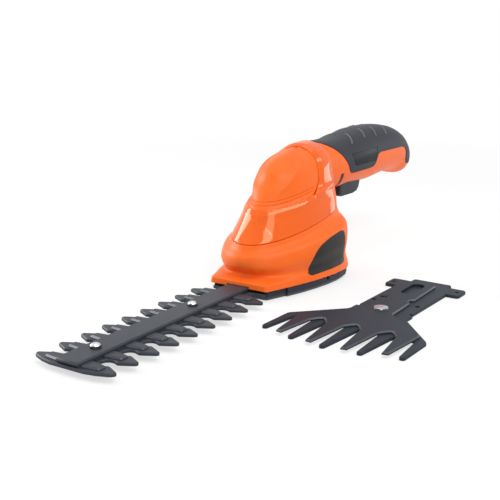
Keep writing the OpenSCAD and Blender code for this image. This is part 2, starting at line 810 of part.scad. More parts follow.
// Gear pair
function involute(base_r, r) = r <= base_r ? 0 : let (a = acos(base_r / r)) tan(a) * 180 / PI - a;
function gear_outline(n, turn) =
  let (rp = gear_module * n / 2, rb = rp * cos(pressure_angle), ra = rp + addendum_share * gear_module,
       rr = rp - dedendum_share * gear_module, half = 90 / n - backlash / rp * 180 / PI,
       radii = [rr, max(rb, rr), rp, ra])
  [for (i = [0 : n - 1], side = [-1, 1], k = [0 : 3])
    let (r = radii[side < 0 ? k : 3 - k], a = i * 360 / n + turn
         + side * (half + involute(rb, rp) - involute(rb, r)))
    [r * cos(a), r * sin(a)]];
module pinion() {
  color(brass) translate([motor_x, 0, pinion_z]) difference() {
    linear_extrude(height = pinion_t) polygon(gear_outline(pinion_n, 180 / pinion_n));
    translate([0, 0, -cut]) cylinder(d = motor_shaft_d + 2 * pilot_gap, h = pinion_t + 2 * cut);
  }
}
module drive_gear() {
  color(steel) translate([gear_x, 0, gear_z]) difference() {
    linear_extrude(height = gear_t) polygon(gear_outline(gear_n, 0));
    translate([0, 0, -cut]) cylinder(d = shaft_d + 2 * pilot_gap, h = gear_t + 2 * cut);
    translate([0, crank_throw, -cut]) cylinder(d = crank_pin_d + 2 * pilot_gap, h = gear_t + 2 * cut);
  }
}
module crank_shaft() {
  color(steel) translate([gear_x, 0, gear_z]) cylinder(d = shaft_d, h = shaft_top - gear_z);
}
module crank_pin() {
  color(steel) translate([gear_x, crank_throw, roller_z])
    cylinder(d = crank_pin_d, h = gear_z + gear_t - roller_z);
}
module crank_roller() {
  color(brass) translate([gear_x, crank_throw, 0])
    tube(roller_d, crank_pin_d + 2 * pilot_gap, roller_z, gear_z - run_gap);
}
module shaft_circlip() {
  color(steel) translate([gear_x, 0, 0])
    tube(circlip_d, shaft_d + 2 * pilot_gap, tower_top + run_gap, tower_top + run_gap + circlip_t);
}
module crank_bushes() {
  color(copper) translate([gear_x, 0, 0]) for (z = [deck_z, tower_top - bush_l])
    tube(bush_d, shaft_d + 2 * shaft_gap, z, z + bush_l);
}

// Motor and the frame that carries it
module gearbox_frame() {
  w = deck_half_w;
  c = deck_corner;
  outline = [[deck_front_x, c - w], [deck_front_x + c, -w], [deck_rear_x - c, -w], [deck_rear_x, c - w],
    [deck_rear_x, w - c], [deck_rear_x - c, w], [deck_front_x + c, w], [deck_front_x, w - c]];
  color(nylon) difference() {
    union() {
      plate(outline, deck_z, deck_t);
      translate([gear_x, 0, deck_z]) cylinder(d = tower_d, h = tower_top - deck_z);
      for (p = leg_places, s = [-1, 1])
        translate([p[0], s * p[1], floor_t + seam]) cylinder(d = leg_d, h = deck_z - floor_t);
      block(beam_x, beam_x + beam_l, -leg_places[1][1], leg_places[1][1], beam_z, beam_z + beam_h);
    }
    translate([gear_x, 0, deck_z - cut])
      cylinder(d = bush_d + 2 * pilot_gap, h = tower_top - deck_z + 2 * cut);
    translate([motor_x, 0, deck_z - cut]) {
      cylinder(d = motor_shaft_d + 2 * run_gap, h = deck_t + 2 * cut);
      for (s = [-1, 1]) translate([0, s * motor_screw_r, 0])
        cylinder(d = motor_screw_d + 2 * pilot_gap, h = deck_t + 2 * cut);
    }
  }
}
module motor_can() {
  color(steel) translate([motor_x, 0, motor_z]) difference() {
    cylinder(d = motor_d, h = motor_long);
    translate([0, 0, can_floor]) cylinder(d = motor_d - 2 * can_wall, h = motor_long);
    translate([0, 0, -cut]) cylinder(d = motor_shaft_d + 2 * shaft_gap, h = can_floor + 2 * cut);
    for (s = [-1, 1]) translate([0, s * motor_screw_r, -cut])
      cylinder(d = motor_screw_d + 2 * pilot_gap, h = can_floor + 2 * cut);
  }
}
module motor_endbell() {
  color(dark) translate([motor_x, 0, motor_top]) {
    difference() {
      cylinder(d = motor_d, h = endbell_t);
      translate([0, 0, -cut]) cylinder(d = motor_shaft_d + 2 * shaft_gap, h = endbell_t + 2 * cut);
    }
    for (s = [-1, 1]) translate([0, s * tab_y, endbell_t])
      block(-tab_w / 2, tab_w / 2, -tab_t / 2, tab_t / 2, 0, tab_h);
  }
}
module motor_shaft() {
  color(steel) translate([motor_x, 0, pinion_z])
    cylinder(d = motor_shaft_d, h = motor_top + endbell_t + shaft_over - pinion_z);
}
module motor_armature() {
  color(copper) translate([motor_x, 0, 0]) tube(motor_d - 2 * can_wall - 2 * armature_gap,
    motor_shaft_d + 2 * pilot_gap, motor_z + can_floor + armature_gap, motor_top - armature_gap);
}
module motor_screws() {
  color(steel) for (s = [-1, 1]) translate([motor_x, s * motor_screw_r, deck_z - motor_screw_head_t]) {
    cylinder(d = motor_screw_head_d, h = motor_screw_head_t);
    cylinder(d = motor_screw_d, h = motor_screw_head_t + deck_t + motor_screw_bite);
  }
}
module housing_screws() {
  color(steel) for (p = screw_places) difference() {
    union() {
      across(p[0], p[1], screw_d, screw_seat_y - screw_l, screw_seat_y);
      across(p[0], p[1], screw_head_d, screw_seat_y, screw_seat_y + screw_head_t);
    }
    block(p[0] - screw_head_d, p[0] + screw_head_d, screw_seat_y + screw_head_t - drive_slot_d,
      screw_seat_y + screw_head_t + cut, p[1] - drive_slot_w / 2, p[1] + drive_slot_w / 2);
  }
}

// Shrubber blade
function tooth_x(i) = blade_tip_x + i * tooth_pitch;
function tooth(i, shares, w) = [for (s = shares) [tooth_x(i) + s[0] * tooth_pitch, s[1] * w / 2]];
function gullet(i) =
  let (r = gullet_share * tooth_pitch, x = tooth_x(i) + tooth_pitch / 2,
       y = comb_tooth_shares[0][1] * comb_w / 2)
  [for (k = [1 : gullet_steps - 1])
    [x - r * cos(180 * k / gullet_steps), y - r * sin(180 * k / gullet_steps)]];
function mirrored(points) = [for (i = [len(points) - 1 : -1 : 0]) [points[i][0], -points[i][1]]];
function rows_from(rows, first) = [for (i = [first : len(rows) - 1]) rows[i]];
comb_half = concat(
  tooth(0, first_tooth_front_shares, comb_w),
  tooth(0, rows_from(comb_tooth_shares, first_tip_row), comb_w),
  [for (i = [1 : tooth_n - 1]) each concat(gullet(i - 1), tooth(i, comb_tooth_shares, comb_w))],
  gullet(tooth_n - 1),
  [[comb_root_x - root_l, root_w / 2 - root_chamfer],
   [comb_root_x - root_l + root_chamfer, root_w / 2], [comb_root_x, root_w / 2],
   [comb_root_x, comb_tail_w / 2], [comb_tail_x, comb_tail_w / 2]]);
module shrubber_comb() {
  color(blade_grey) difference() {
    plate(concat(comb_half, mirrored(comb_half)), comb_z, comb_t);
    for (x = bar_screw_xs) translate([x, 0, 0]) cylinder(d = bar_shank_d + 2 * pilot_gap, h = reach);
    for (s = [-1, 1]) translate([locate_x, s * locate_y, 0])
      cylinder(d = locate_d + 2 * locate_gap, h = reach);
  }
}
cutter_half = concat(
  [[blade_front_x + cutter_front, cutter_spine_w / 2]],
  [for (i = [0 : tooth_n - 1]) each tooth(i, cutter_tooth_shares, cutter_w)],
  [[cutter_tail_front - tail_taper, cutter_spine_w / 2], [cutter_tail_front, cutter_tail_w / 2],
   [cutter_tail_rear, cutter_tail_w / 2]]);
module shrubber_cutter() {
  slot_half = cutter_travel + run_gap;
  slot_d = spacer_d + 2 * slot_side_gap;
  color(blade_grey) difference() {
    plate(concat(cutter_half, mirrored(cutter_half)), cutter_z, cutter_t);
    for (x = bar_screw_xs) {
      block(x - slot_half, x + slot_half, -slot_d / 2, slot_d / 2, 0, reach);
      for (s = [-1, 1]) translate([x + s * slot_half, 0, 0]) cylinder(d = slot_d, h = reach);
    }
    block(gear_x - window_l / 2, gear_x + window_l / 2, -window_w / 2, window_w / 2, 0, reach);
  }
}
module blade_bar() {
  half = [[blade_front_x, bar_w / 2 - bar_corner], [blade_front_x + bar_corner, bar_w / 2],
    [bar_end_x, bar_w / 2]];
  color(blade_grey) difference() {
    plate(concat(half, mirrored(half)), bar_z, bar_t);
    for (x = bar_screw_xs) translate([x, 0, 0]) cylinder(d = bar_shank_d + 2 * pilot_gap, h = reach);
  }
}
module dome(d, h) {
  r = (d * d / 4 + h * h) / (2 * h);
  intersection() {
    translate([0, 0, h - r]) sphere(r = r);
    cylinder(d = d, h = h);
  }
}
module bar_screws() {
  color(steel) for (x = bar_screw_xs) translate([x, 0, 0]) {
    translate([0, 0, bar_top_z]) dome(bar_screw_d, bar_head_h);
    translate([0, 0, comb_z - nut_t]) cylinder(d = bar_shank_d, h = bar_top_z - comb_z + nut_t + cut / 2);
  }
}
module bar_nuts() {
  color(steel) for (x = bar_screw_xs) translate([x, 0, comb_z - nut_t]) difference() {
    cylinder(d = nut_d, h = nut_t, $fn = 6);
    translate([0, 0, -cut]) cylinder(d = bar_shank_d + 2 * pilot_gap, h = nut_t + 2 * cut);
  }
}
module bar_spacers() {
  color(steel) for (x = bar_screw_xs) translate([x, 0, 0])
    tube(spacer_d, bar_shank_d + 2 * pilot_gap, comb_z + comb_t, bar_z);
}

// Loose shear blade, drawn about a point on its centre line with its tines towards -X
module shear_place() {
  translate([shear_x, shear_y, 0]) rotate([0, 0, shear_turn]) children();
}
module at_shear_pivot() {
  translate([-shear_pivot_ahead, 0, 0]) children();
}
shear_half = let (h = shear_plate_w / 2, e = h - shear_step, o = e + ear_over, r = ear_round,
                  t = shear_tail_w / 2)
  [[shear_tail_x, -t], [ear_x + ear_l, -t], [ear_x + ear_l, r - o], [ear_x + ear_l - r, -o],
   [ear_x + r, -o], [ear_x, r - o], [ear_x, -e], [shear_step_x, -e], [shear_step_x, -h],
   [-shear_neck_share * tine_reach, -h],
   [-shoulder_share * tine_reach, -(tine_n - 1) / 2 * tine_pitch - shoulder_over]];
function tine(j) =
  let (y = (j - (tine_n - 1) / 2) * tine_pitch, x = -tine_reach_shares[j] * tine_reach,
       h = tine_tip_w / 2, b = tine_base_w / 2)
  concat(j == 0 ? [] : [[tine_base_x, y - b]],
    [[x + h / 2, y - h], [x, y - h / 2], [x, y + h / 2], [x + h / 2, y + h]],
    j == tine_n - 1 ? [] : [[tine_base_x, y + b]]);
module shear_comb() {
  color(blade_grey) shear_place() difference() {
    plate(concat(shear_half, [for (j = [0 : tine_n - 1]) each tine(j)], mirrored(shear_half)), 0,
      shear_comb_t);
    at_shear_pivot() translate([0, 0, -cut]) cylinder(d = pivot_shank_d + 2 * pilot_gap, h = reach);
    for (p = shear_hole_places) translate([p[0], p[1], -cut]) cylinder(d = shear_hole_d, h = reach);
  }
}
function swing_tooth(j) =
  let (y = (j - (swing_n - 1) / 2) * tine_pitch, x = -swing_tip_shares[j] * tine_reach, h = swing_tip_w / 2,
       b = swing_base_w / 2, lean = y < 0 ? swing_slant : 0)
  concat(j == 0 ? [] : [[swing_base_x, y - b]],
    [[x + lean, y - h], [x + swing_slant - lean, y + h]], j == swing_n - 1 ? [] : [[swing_base_x, y + b]]);
swing_half = let (t = tongue_w / 2, fan = (swing_n - 1) / 2 * tine_pitch + swing_base_w / 2)
  [[tongue_x, -t], [notch_x + notch_l, -t], [notch_x + notch_l, notch_w - t], [notch_x, notch_w - t],
   [notch_x, -t], [-shear_neck_share * tine_reach, -t], [-swing_fan_share * tine_reach, -fan]];
module shear_cutter() {
  color(blade_grey) shear_place() at_shear_pivot() rotate([0, 0, swing_rest]) difference() {
    translate([shear_pivot_ahead, 0, 0]) difference() {
      plate(concat(swing_half, [for (j = [0 : swing_n - 1]) each swing_tooth(j)], mirrored(swing_half)),
        shear_cutter_z, shear_cutter_t);
      block(slot_x + slot_w / 2, slot_x + slot_l - slot_w / 2, -slot_w / 2, slot_w / 2, 0, reach);
      for (x = [slot_x + slot_w / 2, slot_x + slot_l - slot_w / 2]) translate([x, 0, 0])
        cylinder(d = slot_w, h = reach);
    }
    cylinder(d = pivot_shank_d + 2 * shaft_gap, h = reach);
  }
}
module shear_pivot() {
  top = shear_cutter_z + shear_cutter_t + blade_gap;
  flat_h = pivot_head_h * (1 - pivot_dome_share);
  color(steel) shear_place() at_shear_pivot() {
    cylinder(d = pivot_shank_d, h = top + flat_h);
    translate([0, 0, top]) cylinder(d = pivot_head_d, h = flat_h);
    translate([0, 0, top + flat_h]) dome(pivot_head_d, pivot_head_h - flat_h);
  }
}

left_shell();
right_shell();
motor_hood();
hood_cap();
base_plate();
grip_overmould();
grip_badges();
side_badges();
trigger();
trigger_pin();
trigger_spring();
lock_button();
switch_body();
cell_cradle();
battery_cells();
cell_contacts();
circuit_board();
charge_socket();
gearbox_frame();
motor_can();
motor_endbell();
motor_armature();
motor_shaft();
motor_screws();
pinion();
drive_gear();
crank_shaft();
crank_pin();
crank_roller();
shaft_circlip();
crank_bushes();
base_latch();
latch_spring();
housing_screws();
shrubber_comb();
shrubber_cutter();
blade_bar();
bar_screws();
bar_nuts();
bar_spacers();
shear_comb();
shear_cutter();
shear_pivot();
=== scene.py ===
import math

import bmesh
import bpy
from mathutils import Matrix, Vector


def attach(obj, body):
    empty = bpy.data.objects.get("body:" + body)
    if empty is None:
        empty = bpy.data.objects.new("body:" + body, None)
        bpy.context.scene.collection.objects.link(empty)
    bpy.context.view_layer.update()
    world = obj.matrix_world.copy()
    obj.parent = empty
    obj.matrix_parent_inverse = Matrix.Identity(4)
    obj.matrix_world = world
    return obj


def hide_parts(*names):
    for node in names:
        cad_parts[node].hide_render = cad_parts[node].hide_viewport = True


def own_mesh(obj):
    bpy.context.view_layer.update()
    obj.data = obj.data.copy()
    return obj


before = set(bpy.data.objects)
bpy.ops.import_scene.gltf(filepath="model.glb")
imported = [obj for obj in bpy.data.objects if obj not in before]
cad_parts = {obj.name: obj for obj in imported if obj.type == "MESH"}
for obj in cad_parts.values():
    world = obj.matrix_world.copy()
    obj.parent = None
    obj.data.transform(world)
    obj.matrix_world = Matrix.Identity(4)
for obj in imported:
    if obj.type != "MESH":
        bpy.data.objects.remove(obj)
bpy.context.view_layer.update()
scene = bpy.context.scene
mm = 0.001
print("stage: frame loaded")

# Shader groups


def newGroup(name, inputs, outputs):
    group = bpy.data.node_groups.new(name, "ShaderNodeTree")
    for label, kind, value in inputs:
        socket = group.interface.new_socket(label, in_out="INPUT", socket_type=kind)
        if value is not None:
            socket.default_value = value
    for label in outputs:
        group.interface.new_socket(label, in_out="OUTPUT", socket_type="NodeSocketFloat")
    start = group.nodes.new("NodeGroupInput")
    end = group.nodes.new("NodeGroupOutput")
    return group, start, end


def noiseNode(group, start, scaleFrom, detail, vector=None):
    noise = group.nodes.new("ShaderNodeTexNoise")
    noise.inputs["Detail"].default_value = detail
    group.links.new(vector or start.outputs["Vector"], noise.inputs["Vector"])
    group.links.new(start.outputs[scaleFrom], noise.inputs["Scale"])
    return noise.outputs["Fac"]


# fine moulded texture with a broad, faint change of tone
grainGroup, grainIn, grainOut = newGroup("mouldedGrain", [
    ("Vector", "NodeSocketVector", None), ("Fine", "NodeSocketFloat", 1800.0),
    ("Broad", "NodeSocketFloat", 40.0)], ["Height", "Tone"])
grainGroup.links.new(noiseNode(grainGroup, grainIn, "Fine", 2.0), grainOut.inputs["Height"])
grainGroup.links.new(noiseNode(grainGroup, grainIn, "Broad", 4.0), grainOut.inputs["Tone"])

# lines left by grinding or brushing, drawn out along one direction
brushGroup, brushIn, brushOut = newGroup("brushedLines", [
    ("Vector", "NodeSocketVector", None), ("Stretch", "NodeSocketVector", (0.05, 1.0, 1.0)),
    ("Fine", "NodeSocketFloat", 2500.0), ("Broad", "NodeSocketFloat", 90.0)], ["Height", "Tone"])
stretched = brushGroup.nodes.new("ShaderNodeVectorMath")
stretched.operation = "MULTIPLY"
brushGroup.links.new(brushIn.outputs["Vector"], stretched.inputs[0])
brushGroup.links.new(brushIn.outputs["Stretch"], stretched.inputs[1])
brushFine = noiseNode(brushGroup, brushIn, "Fine", 3.0, stretched.outputs[0])
brushGroup.links.new(brushFine, brushOut.inputs["Height"])
brushGroup.links.new(noiseNode(brushGroup, brushIn, "Broad", 5.0), brushOut.inputs["Tone"])
reliefDepth = 0.02  # the same in every finish


def finish(name, dark, light, rough, metal=0.0, bump=0.1, shine=0.5, tint=(1, 1, 1), group=grainGroup,
           **values):
    # a material whose tone, roughness and relief come from one of the groups
    made = bpy.data.materials.new(name)
    made.use_nodes = True
    tree = made.node_tree
    shader = tree.nodes["Principled BSDF"]
    shader.inputs["Metallic"].default_value = metal
    shader.inputs["Specular IOR Level"].default_value = shine
    shader.inputs["Specular Tint"].default_value = (*tint, 1)
    where = tree.nodes.new("ShaderNodeTexCoord")
    effect = tree.nodes.new("ShaderNodeGroup")
    effect.node_tree = group
    for label, value in values.items():
        effect.inputs[label].default_value = value
    tree.links.new(where.outputs["Object"], effect.inputs["Vector"])
    tone = tree.nodes.new("ShaderNodeMix")
    tone.data_type = "RGBA"
    tone.inputs["A"].default_value = (*dark, 1)
    tone.inputs["B"].default_value = (*light, 1)
    tree.links.new(effect.outputs["Tone"], tone.inputs["Factor"])
    tree.links.new(tone.outputs["Result"], shader.inputs["Base Color"])
    sheen = tree.nodes.new("ShaderNodeMapRange")
    sheen.inputs["To Min"].default_value = rough[0]
    sheen.inputs["To Max"].default_value = rough[1]
    tree.links.new(effect.outputs["Height"], sheen.inputs["Value"])
    tree.links.new(sheen.outputs["Result"], shader.inputs["Roughness"])
    relief = tree.nodes.new("ShaderNodeBump")
    relief.inputs["Strength"].default_value = bump
    relief.inputs["Distance"].default_value = reliefDepth * mm
    tree.links.new(effect.outputs["Height"], relief.inputs["Height"])
    tree.links.new(relief.outputs["Normal"], shader.inputs["Normal"])
    return made


# mouldings and rubber
satinOrange = finish("satinOrange", (0.80, 0.126, 0.012), (0.85, 0.140, 0.016), (0.34, 0.46),
                     bump=0.25, shine=0.2)
glossOrange = finish("glossOrange", (0.74, 0.096, 0.004), (0.78, 0.106, 0.006), (0.05, 0.08),
                     bump=0.03, shine=0.5, tint=(1.0, 0.78, 0.52))
darkPlastic = finish("darkPlastic", (0.021, 0.024, 0.034), (0.030, 0.033, 0.045), (0.38, 0.52),
                     bump=0.35, shine=0.16)
gripRubber = finish("gripRubber", (0.019, 0.022, 0.030), (0.026, 0.029, 0.038), (0.46, 0.60),
                    bump=0.5, shine=0.2, Fine=1400.0)
# lighter rubber for the ribs: a painted highlight, for the light their crests catch
ribHighlightRubber = finish("ribHighlightRubber", (0.080, 0.087, 0.100), (0.105, 0.112, 0.125), (0.34, 0.46),
                   bump=0.3, shine=0.3, Fine=1400.0)
badgePlate = finish("badgePlate", (0.020, 0.019, 0.018), (0.026, 0.024, 0.023), (0.34, 0.46),
                    bump=0.2, shine=0.14)
badgeGloss = finish("badgeGloss", (0.007, 0.009, 0.011), (0.010, 0.012, 0.015), (0.24, 0.36), shine=0.07)

# blades and fasteners
coatedSteel = finish("coatedSteel", (0.030, 0.034, 0.043), (0.043, 0.048, 0.058), (0.38, 0.52),
                     bump=0.3, shine=0.18, group=brushGroup)
groundSteel = finish("groundSteel", (0.045, 0.049, 0.060), (0.075, 0.080, 0.094), (0.30, 0.46), metal=0.35,
                     bump=0.4, shine=0.25, group=brushGroup, Stretch=(1.0, 0.06, 1.0))
darkSteel = finish("darkSteel", (0.015, 0.021, 0.030), (0.023, 0.030, 0.040), (0.40, 0.54),
                   bump=0.3, shine=0.12, group=brushGroup)
# dark steel for the low faces of the screw heads: painted shade and painted dark reflection
paintedShadeSteel = finish("paintedShadeSteel", (0.035, 0.037, 0.041), (0.060, 0.062, 0.066), (0.08, 0.16), metal=1.0,
                    group=brushGroup)
brightSteel = finish("brightSteel", (0.62, 0.63, 0.64), (0.74, 0.75, 0.76), (0.08, 0.16), metal=1.0,
                     group=brushGroup)
plainSteel = finish("plainSteel", (0.42, 0.43, 0.45), (0.54, 0.55, 0.57), (0.24, 0.38), metal=1.0,
                    bump=0.3, group=brushGroup)

# pieces inside
bronzeMetal = finish("bronzeMetal", (0.40, 0.23, 0.09), (0.52, 0.31, 0.13), (0.30, 0.45), metal=1.0,
                     group=brushGroup)
windingCopper = finish("windingCopper", (0.42, 0.16, 0.07), (0.55, 0.23, 0.10), (0.35, 0.50), metal=0.9,
                       bump=0.8, group=brushGroup, Stretch=(1.0, 1.0, 0.1), Fine=900.0)
paleNylon = finish("paleNylon", (0.56, 0.53, 0.45), (0.64, 0.61, 0.53), (0.42, 0.55), bump=0.2)
greenBoard = finish("greenBoard", (0.022, 0.12, 0.055), (0.030, 0.15, 0.070), (0.28, 0.40), bump=0.2)
blueSleeve = finish("blueSleeve", (0.035, 0.13, 0.30), (0.045, 0.16, 0.35), (0.25, 0.36))
print("stage: materials")

# Mesh helpers; lengths are millimetres until the mesh is made


def addMesh(name, points, faces=(), edges=()):
    mesh = bpy.data.meshes.new(name)
    mesh.from_pydata([(x * mm, y * mm, z * mm) for x, y, z in points], edges, faces)
    made = bpy.data.objects.new(name, mesh)
    scene.collection.objects.link(made)
    return made


def fromBmesh(name, bm):
    bmesh.ops.scale(bm, vec=(mm, mm, mm), verts=bm.verts)
    mesh = bpy.data.meshes.new(name)
    bm.to_mesh(mesh)
    bm.free()
    made = bpy.data.objects.new(name, mesh)
    scene.collection.objects.link(made)
    return made


def bake(obj):
    fresh = bpy.data.meshes.new_from_object(obj.evaluated_get(bpy.context.evaluated_depsgraph_get()))
    obj.modifiers.clear()
    old = obj.data
    obj.data = fresh
    bpy.data.meshes.remove(old)
    return obj


def carve(obj, tool, how="DIFFERENCE"):
    step = obj.modifiers.new("carve", "BOOLEAN")
    step.operation = how
    step.solver = "MANIFOLD"
    step.object = tool
    bake(obj)
    bpy.data.objects.remove(tool)
    return obj


def settle(obj, body, material, nodes=(), angle=35):
    obj.data.materials.clear()
    obj.data.materials.append(material)
    obj.data.shade_smooth()
    obj.data.set_sharp_from_angle(angle=math.radians(angle))
    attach(obj, body)
    if nodes:
        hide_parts(*nodes)
    return obj


def smoothRow(table, row, corners=()):
    # the table's columns at a fractional row, on a curve that may turn sharply at the corner rows
    last = len(table) - 1
    i = max(0, min(int(row), last - 1))
    f = row - i
    a, b = table[i], table[i + 1]
    before = table[i - 1] if i > 0 and i not in corners else None
    after = table[i + 2] if i + 2 <= last and i + 1 not in corners else None
    out = []
    for c in range(len(a)):
        m0 = (b[c] - before[c]) / 2 if before else b[c] - a[c]
        m1 = (after[c] - a[c]) / 2 if after else b[c] - a[c]
        out.append((2 * f**3 - 3 * f**2 + 1) * a[c] + (f**3 - 2 * f**2 + f) * m0
                   + (3 * f**2 - 2 * f**3) * b[c] + (f**3 - f**2) * m1)
    return out


def lineAt(points, at, key=0, value=1):
    # straight-line reading of a list of points, carried on past both ends
    i = 0
    while i < len(points) - 2 and at > points[i + 1][key]:
        i += 1
    a, b = points[i], points[i + 1]
    return a[value] + (b[value] - a[value]) * (at - a[key]) / (b[key] - a[key])


def ease(v):
    v = max(0.0, min(1.0, v))
    return v * v * (3 - 2 * v)


def signedPow(v, p):
    return math.copysign(abs(v) ** p, v)


def rounded(points, steps):
    # a finer line through listed points
    fine = [tuple(smoothRow(points, i + s / steps)) for i in range(len(points) - 1) for s in range(steps)]
    return fine + [tuple(points[-1])]


def doubleArea(outline):
    # above zero for an outline that runs anticlockwise
    pairs = zip([outline[-1]] + outline[:-1], outline)
    return sum(a[0] * b[1] - b[0] * a[1] for a, b in pairs)


def prism(name, outline, y0, y1):
    # a side-view outline drawn out across the object
    n = len(outline)
    points = [(x, y0, z) for x, z in outline] + [(x, y1, z) for x, z in outline]
    faces = [tuple(range(n)), tuple(range(2 * n - 1, n - 1, -1))]
    faces += [(i, n + i, n + (i + 1) % n, (i + 1) % n) for i in range(n)]
    if doubleArea(outline) < 0:
        faces = [tuple(reversed(f)) for f in faces]
    return addMesh(name, points, faces)


def block(name, x0, x1, y0, y1, z0, z1):
    return prism(name, [(x0, z0), (x1, z0), (x1, z1), (x0, z1)], y0, y1)


def rod(name, start, along, radius, length, sides=40):
    # a round bar from start, along one axis
    bm = bmesh.new()
    bmesh.ops.create_cone(bm, cap_ends=True, segments=sides, radius1=radius, radius2=radius, depth=length)
    turn = Vector((0, 0, 1)).rotation_difference(Vector(along)).to_matrix().to_4x4()
    place = Matrix.Translation(Vector(start) + Vector(along) * length / 2) @ turn
    bmesh.ops.transform(bm, matrix=place, verts=bm.verts)
    return fromBmesh(name, bm)


def closedForm(rings):
    # points and faces of a closed form through rings of equal count
    n = len(rings[0])
    points = [p for ring in rings for p in ring]
    faces = []
    for r in range(len(rings) - 1):
        for i in range(n):
            j = (i + 1) % n
            faces.append((r * n + i, r * n + j, (r + 1) * n + j, (r + 1) * n + i))
    top = (len(rings) - 1) * n
    faces.append(tuple(range(n - 1, -1, -1)))
    faces.append(tuple(range(top, top + n)))
    return points, faces


def skin(name, points, faces, thick, roll, steps=4):
    # a panel of even thickness with a rolled edge, from a patch whose faces look outwards;
    # roll is the edge's radius, or a rule that gives it
    bm = bmesh.new()
    verts = [bm.verts.new(p) for p in points]
    for f in faces:
        bm.faces.new([verts[i] for i in f])
    bmesh.ops.remove_doubles(bm, verts=bm.verts, dist=0.02)
    bmesh.ops.dissolve_degenerate(bm, edges=bm.edges, dist=0.001)
    bm.normal_update()
    outer = list(bm.faces)
    rim = [e for e in bm.edges if e.is_boundary]
    inner = {v: bm.verts.new(v.co - v.normal * thick) for v in list(bm.verts)}
    edges, out = [], {}
    for e in rim:
        loop = next(x for x in e.link_faces[0].loops if x.edge == e)
        a, b = loop.vert, loop.link_loop_next.vert
        away = (b.co - a.co).cross(e.link_faces[0].normal).normalized()
        edges.append((a, b))
        for v in (a, b):
            out[v] = out.get(v, Vector()) + away
    chains = {}
    for v, away in out.items():
        away.normalize()
        chain = [v]
        r = roll(v.co) if callable(roll) else roll
        for s in range(1, steps + 1):
            turn = math.pi / 2 * s / steps
            chain.append(bm.verts.new(v.co + away * r * math.sin(turn) - v.normal * r * (1 - math.cos(turn))))
        chain.append(bm.verts.new(v.co + away * r - v.normal * thick))
        chain.append(inner[v])
        chains[v] = chain
    for f in outer:
        bm.faces.new([inner[v] for v in reversed(f.verts)])
    for a, b in edges:
        for s in range(steps + 2):
            bm.faces.new((chains[b][s], chains[a][s], chains[a][s + 1], chains[b][s + 1]))
    return fromBmesh(name, bm)


def gridFaces(rows, cols, flip=False, base=0):
    # faces of a grid of points that starts at point number base
    faces = []
    for r in range(rows - 1):
        for c in range(cols - 1):
            a = base + r * cols + c
            f = (a, a + 1, a + cols + 1, a + cols)
            faces.append(tuple(reversed(f)) if flip else f)
    return faces


# Body surface: one row a level from foot to top, in shares of the body's length and height: front place and
# height, back place and height, half width, where it is widest, front and back rounding, share of footPlan
bodySize = {"noseX": -46.035, "length": 99.0, "footZ": 7.0, "height": 84.0, "halfWidth": 38.5,
            "crownEase": 0.1}
bodyRows = [
    (0.000, 0.000, 1.000, 0.000, 1.000, 0.72, 2.6, 2.4, 1.0),
    (0.004, 0.044, 1.000, 0.048, 0.975, 0.72, 2.6, 2.4, 1.0),
    (0.081, 0.083, 1.005, 0.131, 0.930, 0.72, 2.4, 2.4, 0.4),
    (0.025, 0.155, 1.020, 0.250, 0.960, 0.72, 2.2, 2.4, 0.1),
    (0.023, 0.224, 1.030, 0.383, 0.930, 0.72, 2.1, 2.4, 0.0),
    (0.054, 0.272, 1.015, 0.456, 0.795, 0.70, 2.1, 2.4, 0.0),
    (0.071, 0.312, 1.010, 0.518, 0.740, 0.68, 2.1, 2.4, 0.0),
    (0.152, 0.417, 1.030, 0.583, 0.695, 0.66, 2.1, 2.4, 0.0),
    (0.217, 0.533, 1.050, 0.702, 0.605, 0.62, 2.1, 2.4, 0.0),
    (0.253, 0.583, 1.050, 0.750, 0.540, 0.62, 2.1, 2.4, 0.0),
    (0.303, 0.667, 1.040, 0.821, 0.506, 0.60, 2.2, 2.4, 0.0),
    (0.354, 0.744, 1.030, 0.881, 0.473, 0.60, 2.2, 2.4, 0.0),
    (0.399, 0.826, 1.020, 0.946, 0.390, 0.58, 2.2, 2.3, 0.0),
    (0.495, 0.912, 0.990, 0.982, 0.234, 0.56, 2.1, 2.2, 0.0),
    (0.636, 0.962, 0.930, 0.995, 0.104, 0.52, 2.0, 2.0, 0.0),
    (0.720, 0.980, 0.900, 0.998, 0.000, 0.50, 2.0, 2.0, 0.0)]
footPlan = [(0.000, 0.530), (0.012, 0.572), (0.190, 0.735), (0.330, 0.845), (0.460, 0.922), (0.600, 0.980),
            (0.720, 1.000), (0.820, 0.980), (0.900, 0.895), (0.960, 0.730), (0.990, 0.480), (1.000, 0.000)]
lipRow, creaseRow, rimFootRow, topRow = 1, 6, 8, 15  # rows by name; the form turns sharply at the first three
bodyCorners = (lipRow, creaseRow, rimFootRow)
rimRow = 8.53  # where the hood meets the cap
crownRow = 14.9  # where a closed form ends, just under the top
halvings = 40  # steps of each search on the surface


def bodyX(share):
    return bodySize["noseX"] + share * bodySize["length"]


def bodyZ(share):
    return bodySize["footZ"] + share * bodySize["height"]


def bodyPoint(row, k, side, grow=0.0):
    # the point at a share k of the way back along a level
    level = smoothRow(bodyRows, row, bodyCorners)
    frontX, frontZ, backX, backZ, width, widest, frontPower, backPower, foot = level
    xf, xb = bodyX(frontX) - grow, bodyX(backX) + grow
    zf, zb = bodyZ(frontZ) + grow * frontZ**3, bodyZ(backZ) + grow * backZ**3
    reach, power = (widest, frontPower) if k < widest else (1 - widest, backPower)
    half = max(0.0, 1 - (abs(k - widest) / reach) ** power) ** (1 / power)
    if foot > 0:
        half = (1 - foot) * half + foot * lineAt(footPlan, k)
    wide = max(0.0, width * bodySize["halfWidth"] + grow * ease(width / bodySize["crownEase"]))
    return (xf + (xb - xf) * k, side * wide * half, zf + (zb - zf) * k)


def bodyRing(row, grow, count):
    ring = []
    for i in range(count):
        turn = 2 * math.pi * i / count
        side = 0 if i * 2 in (0, count) else math.copysign(1, math.sin(turn))
        ring.append(bodyPoint(row, (1 + math.cos(turn)) / 2, side, grow))
    return ring


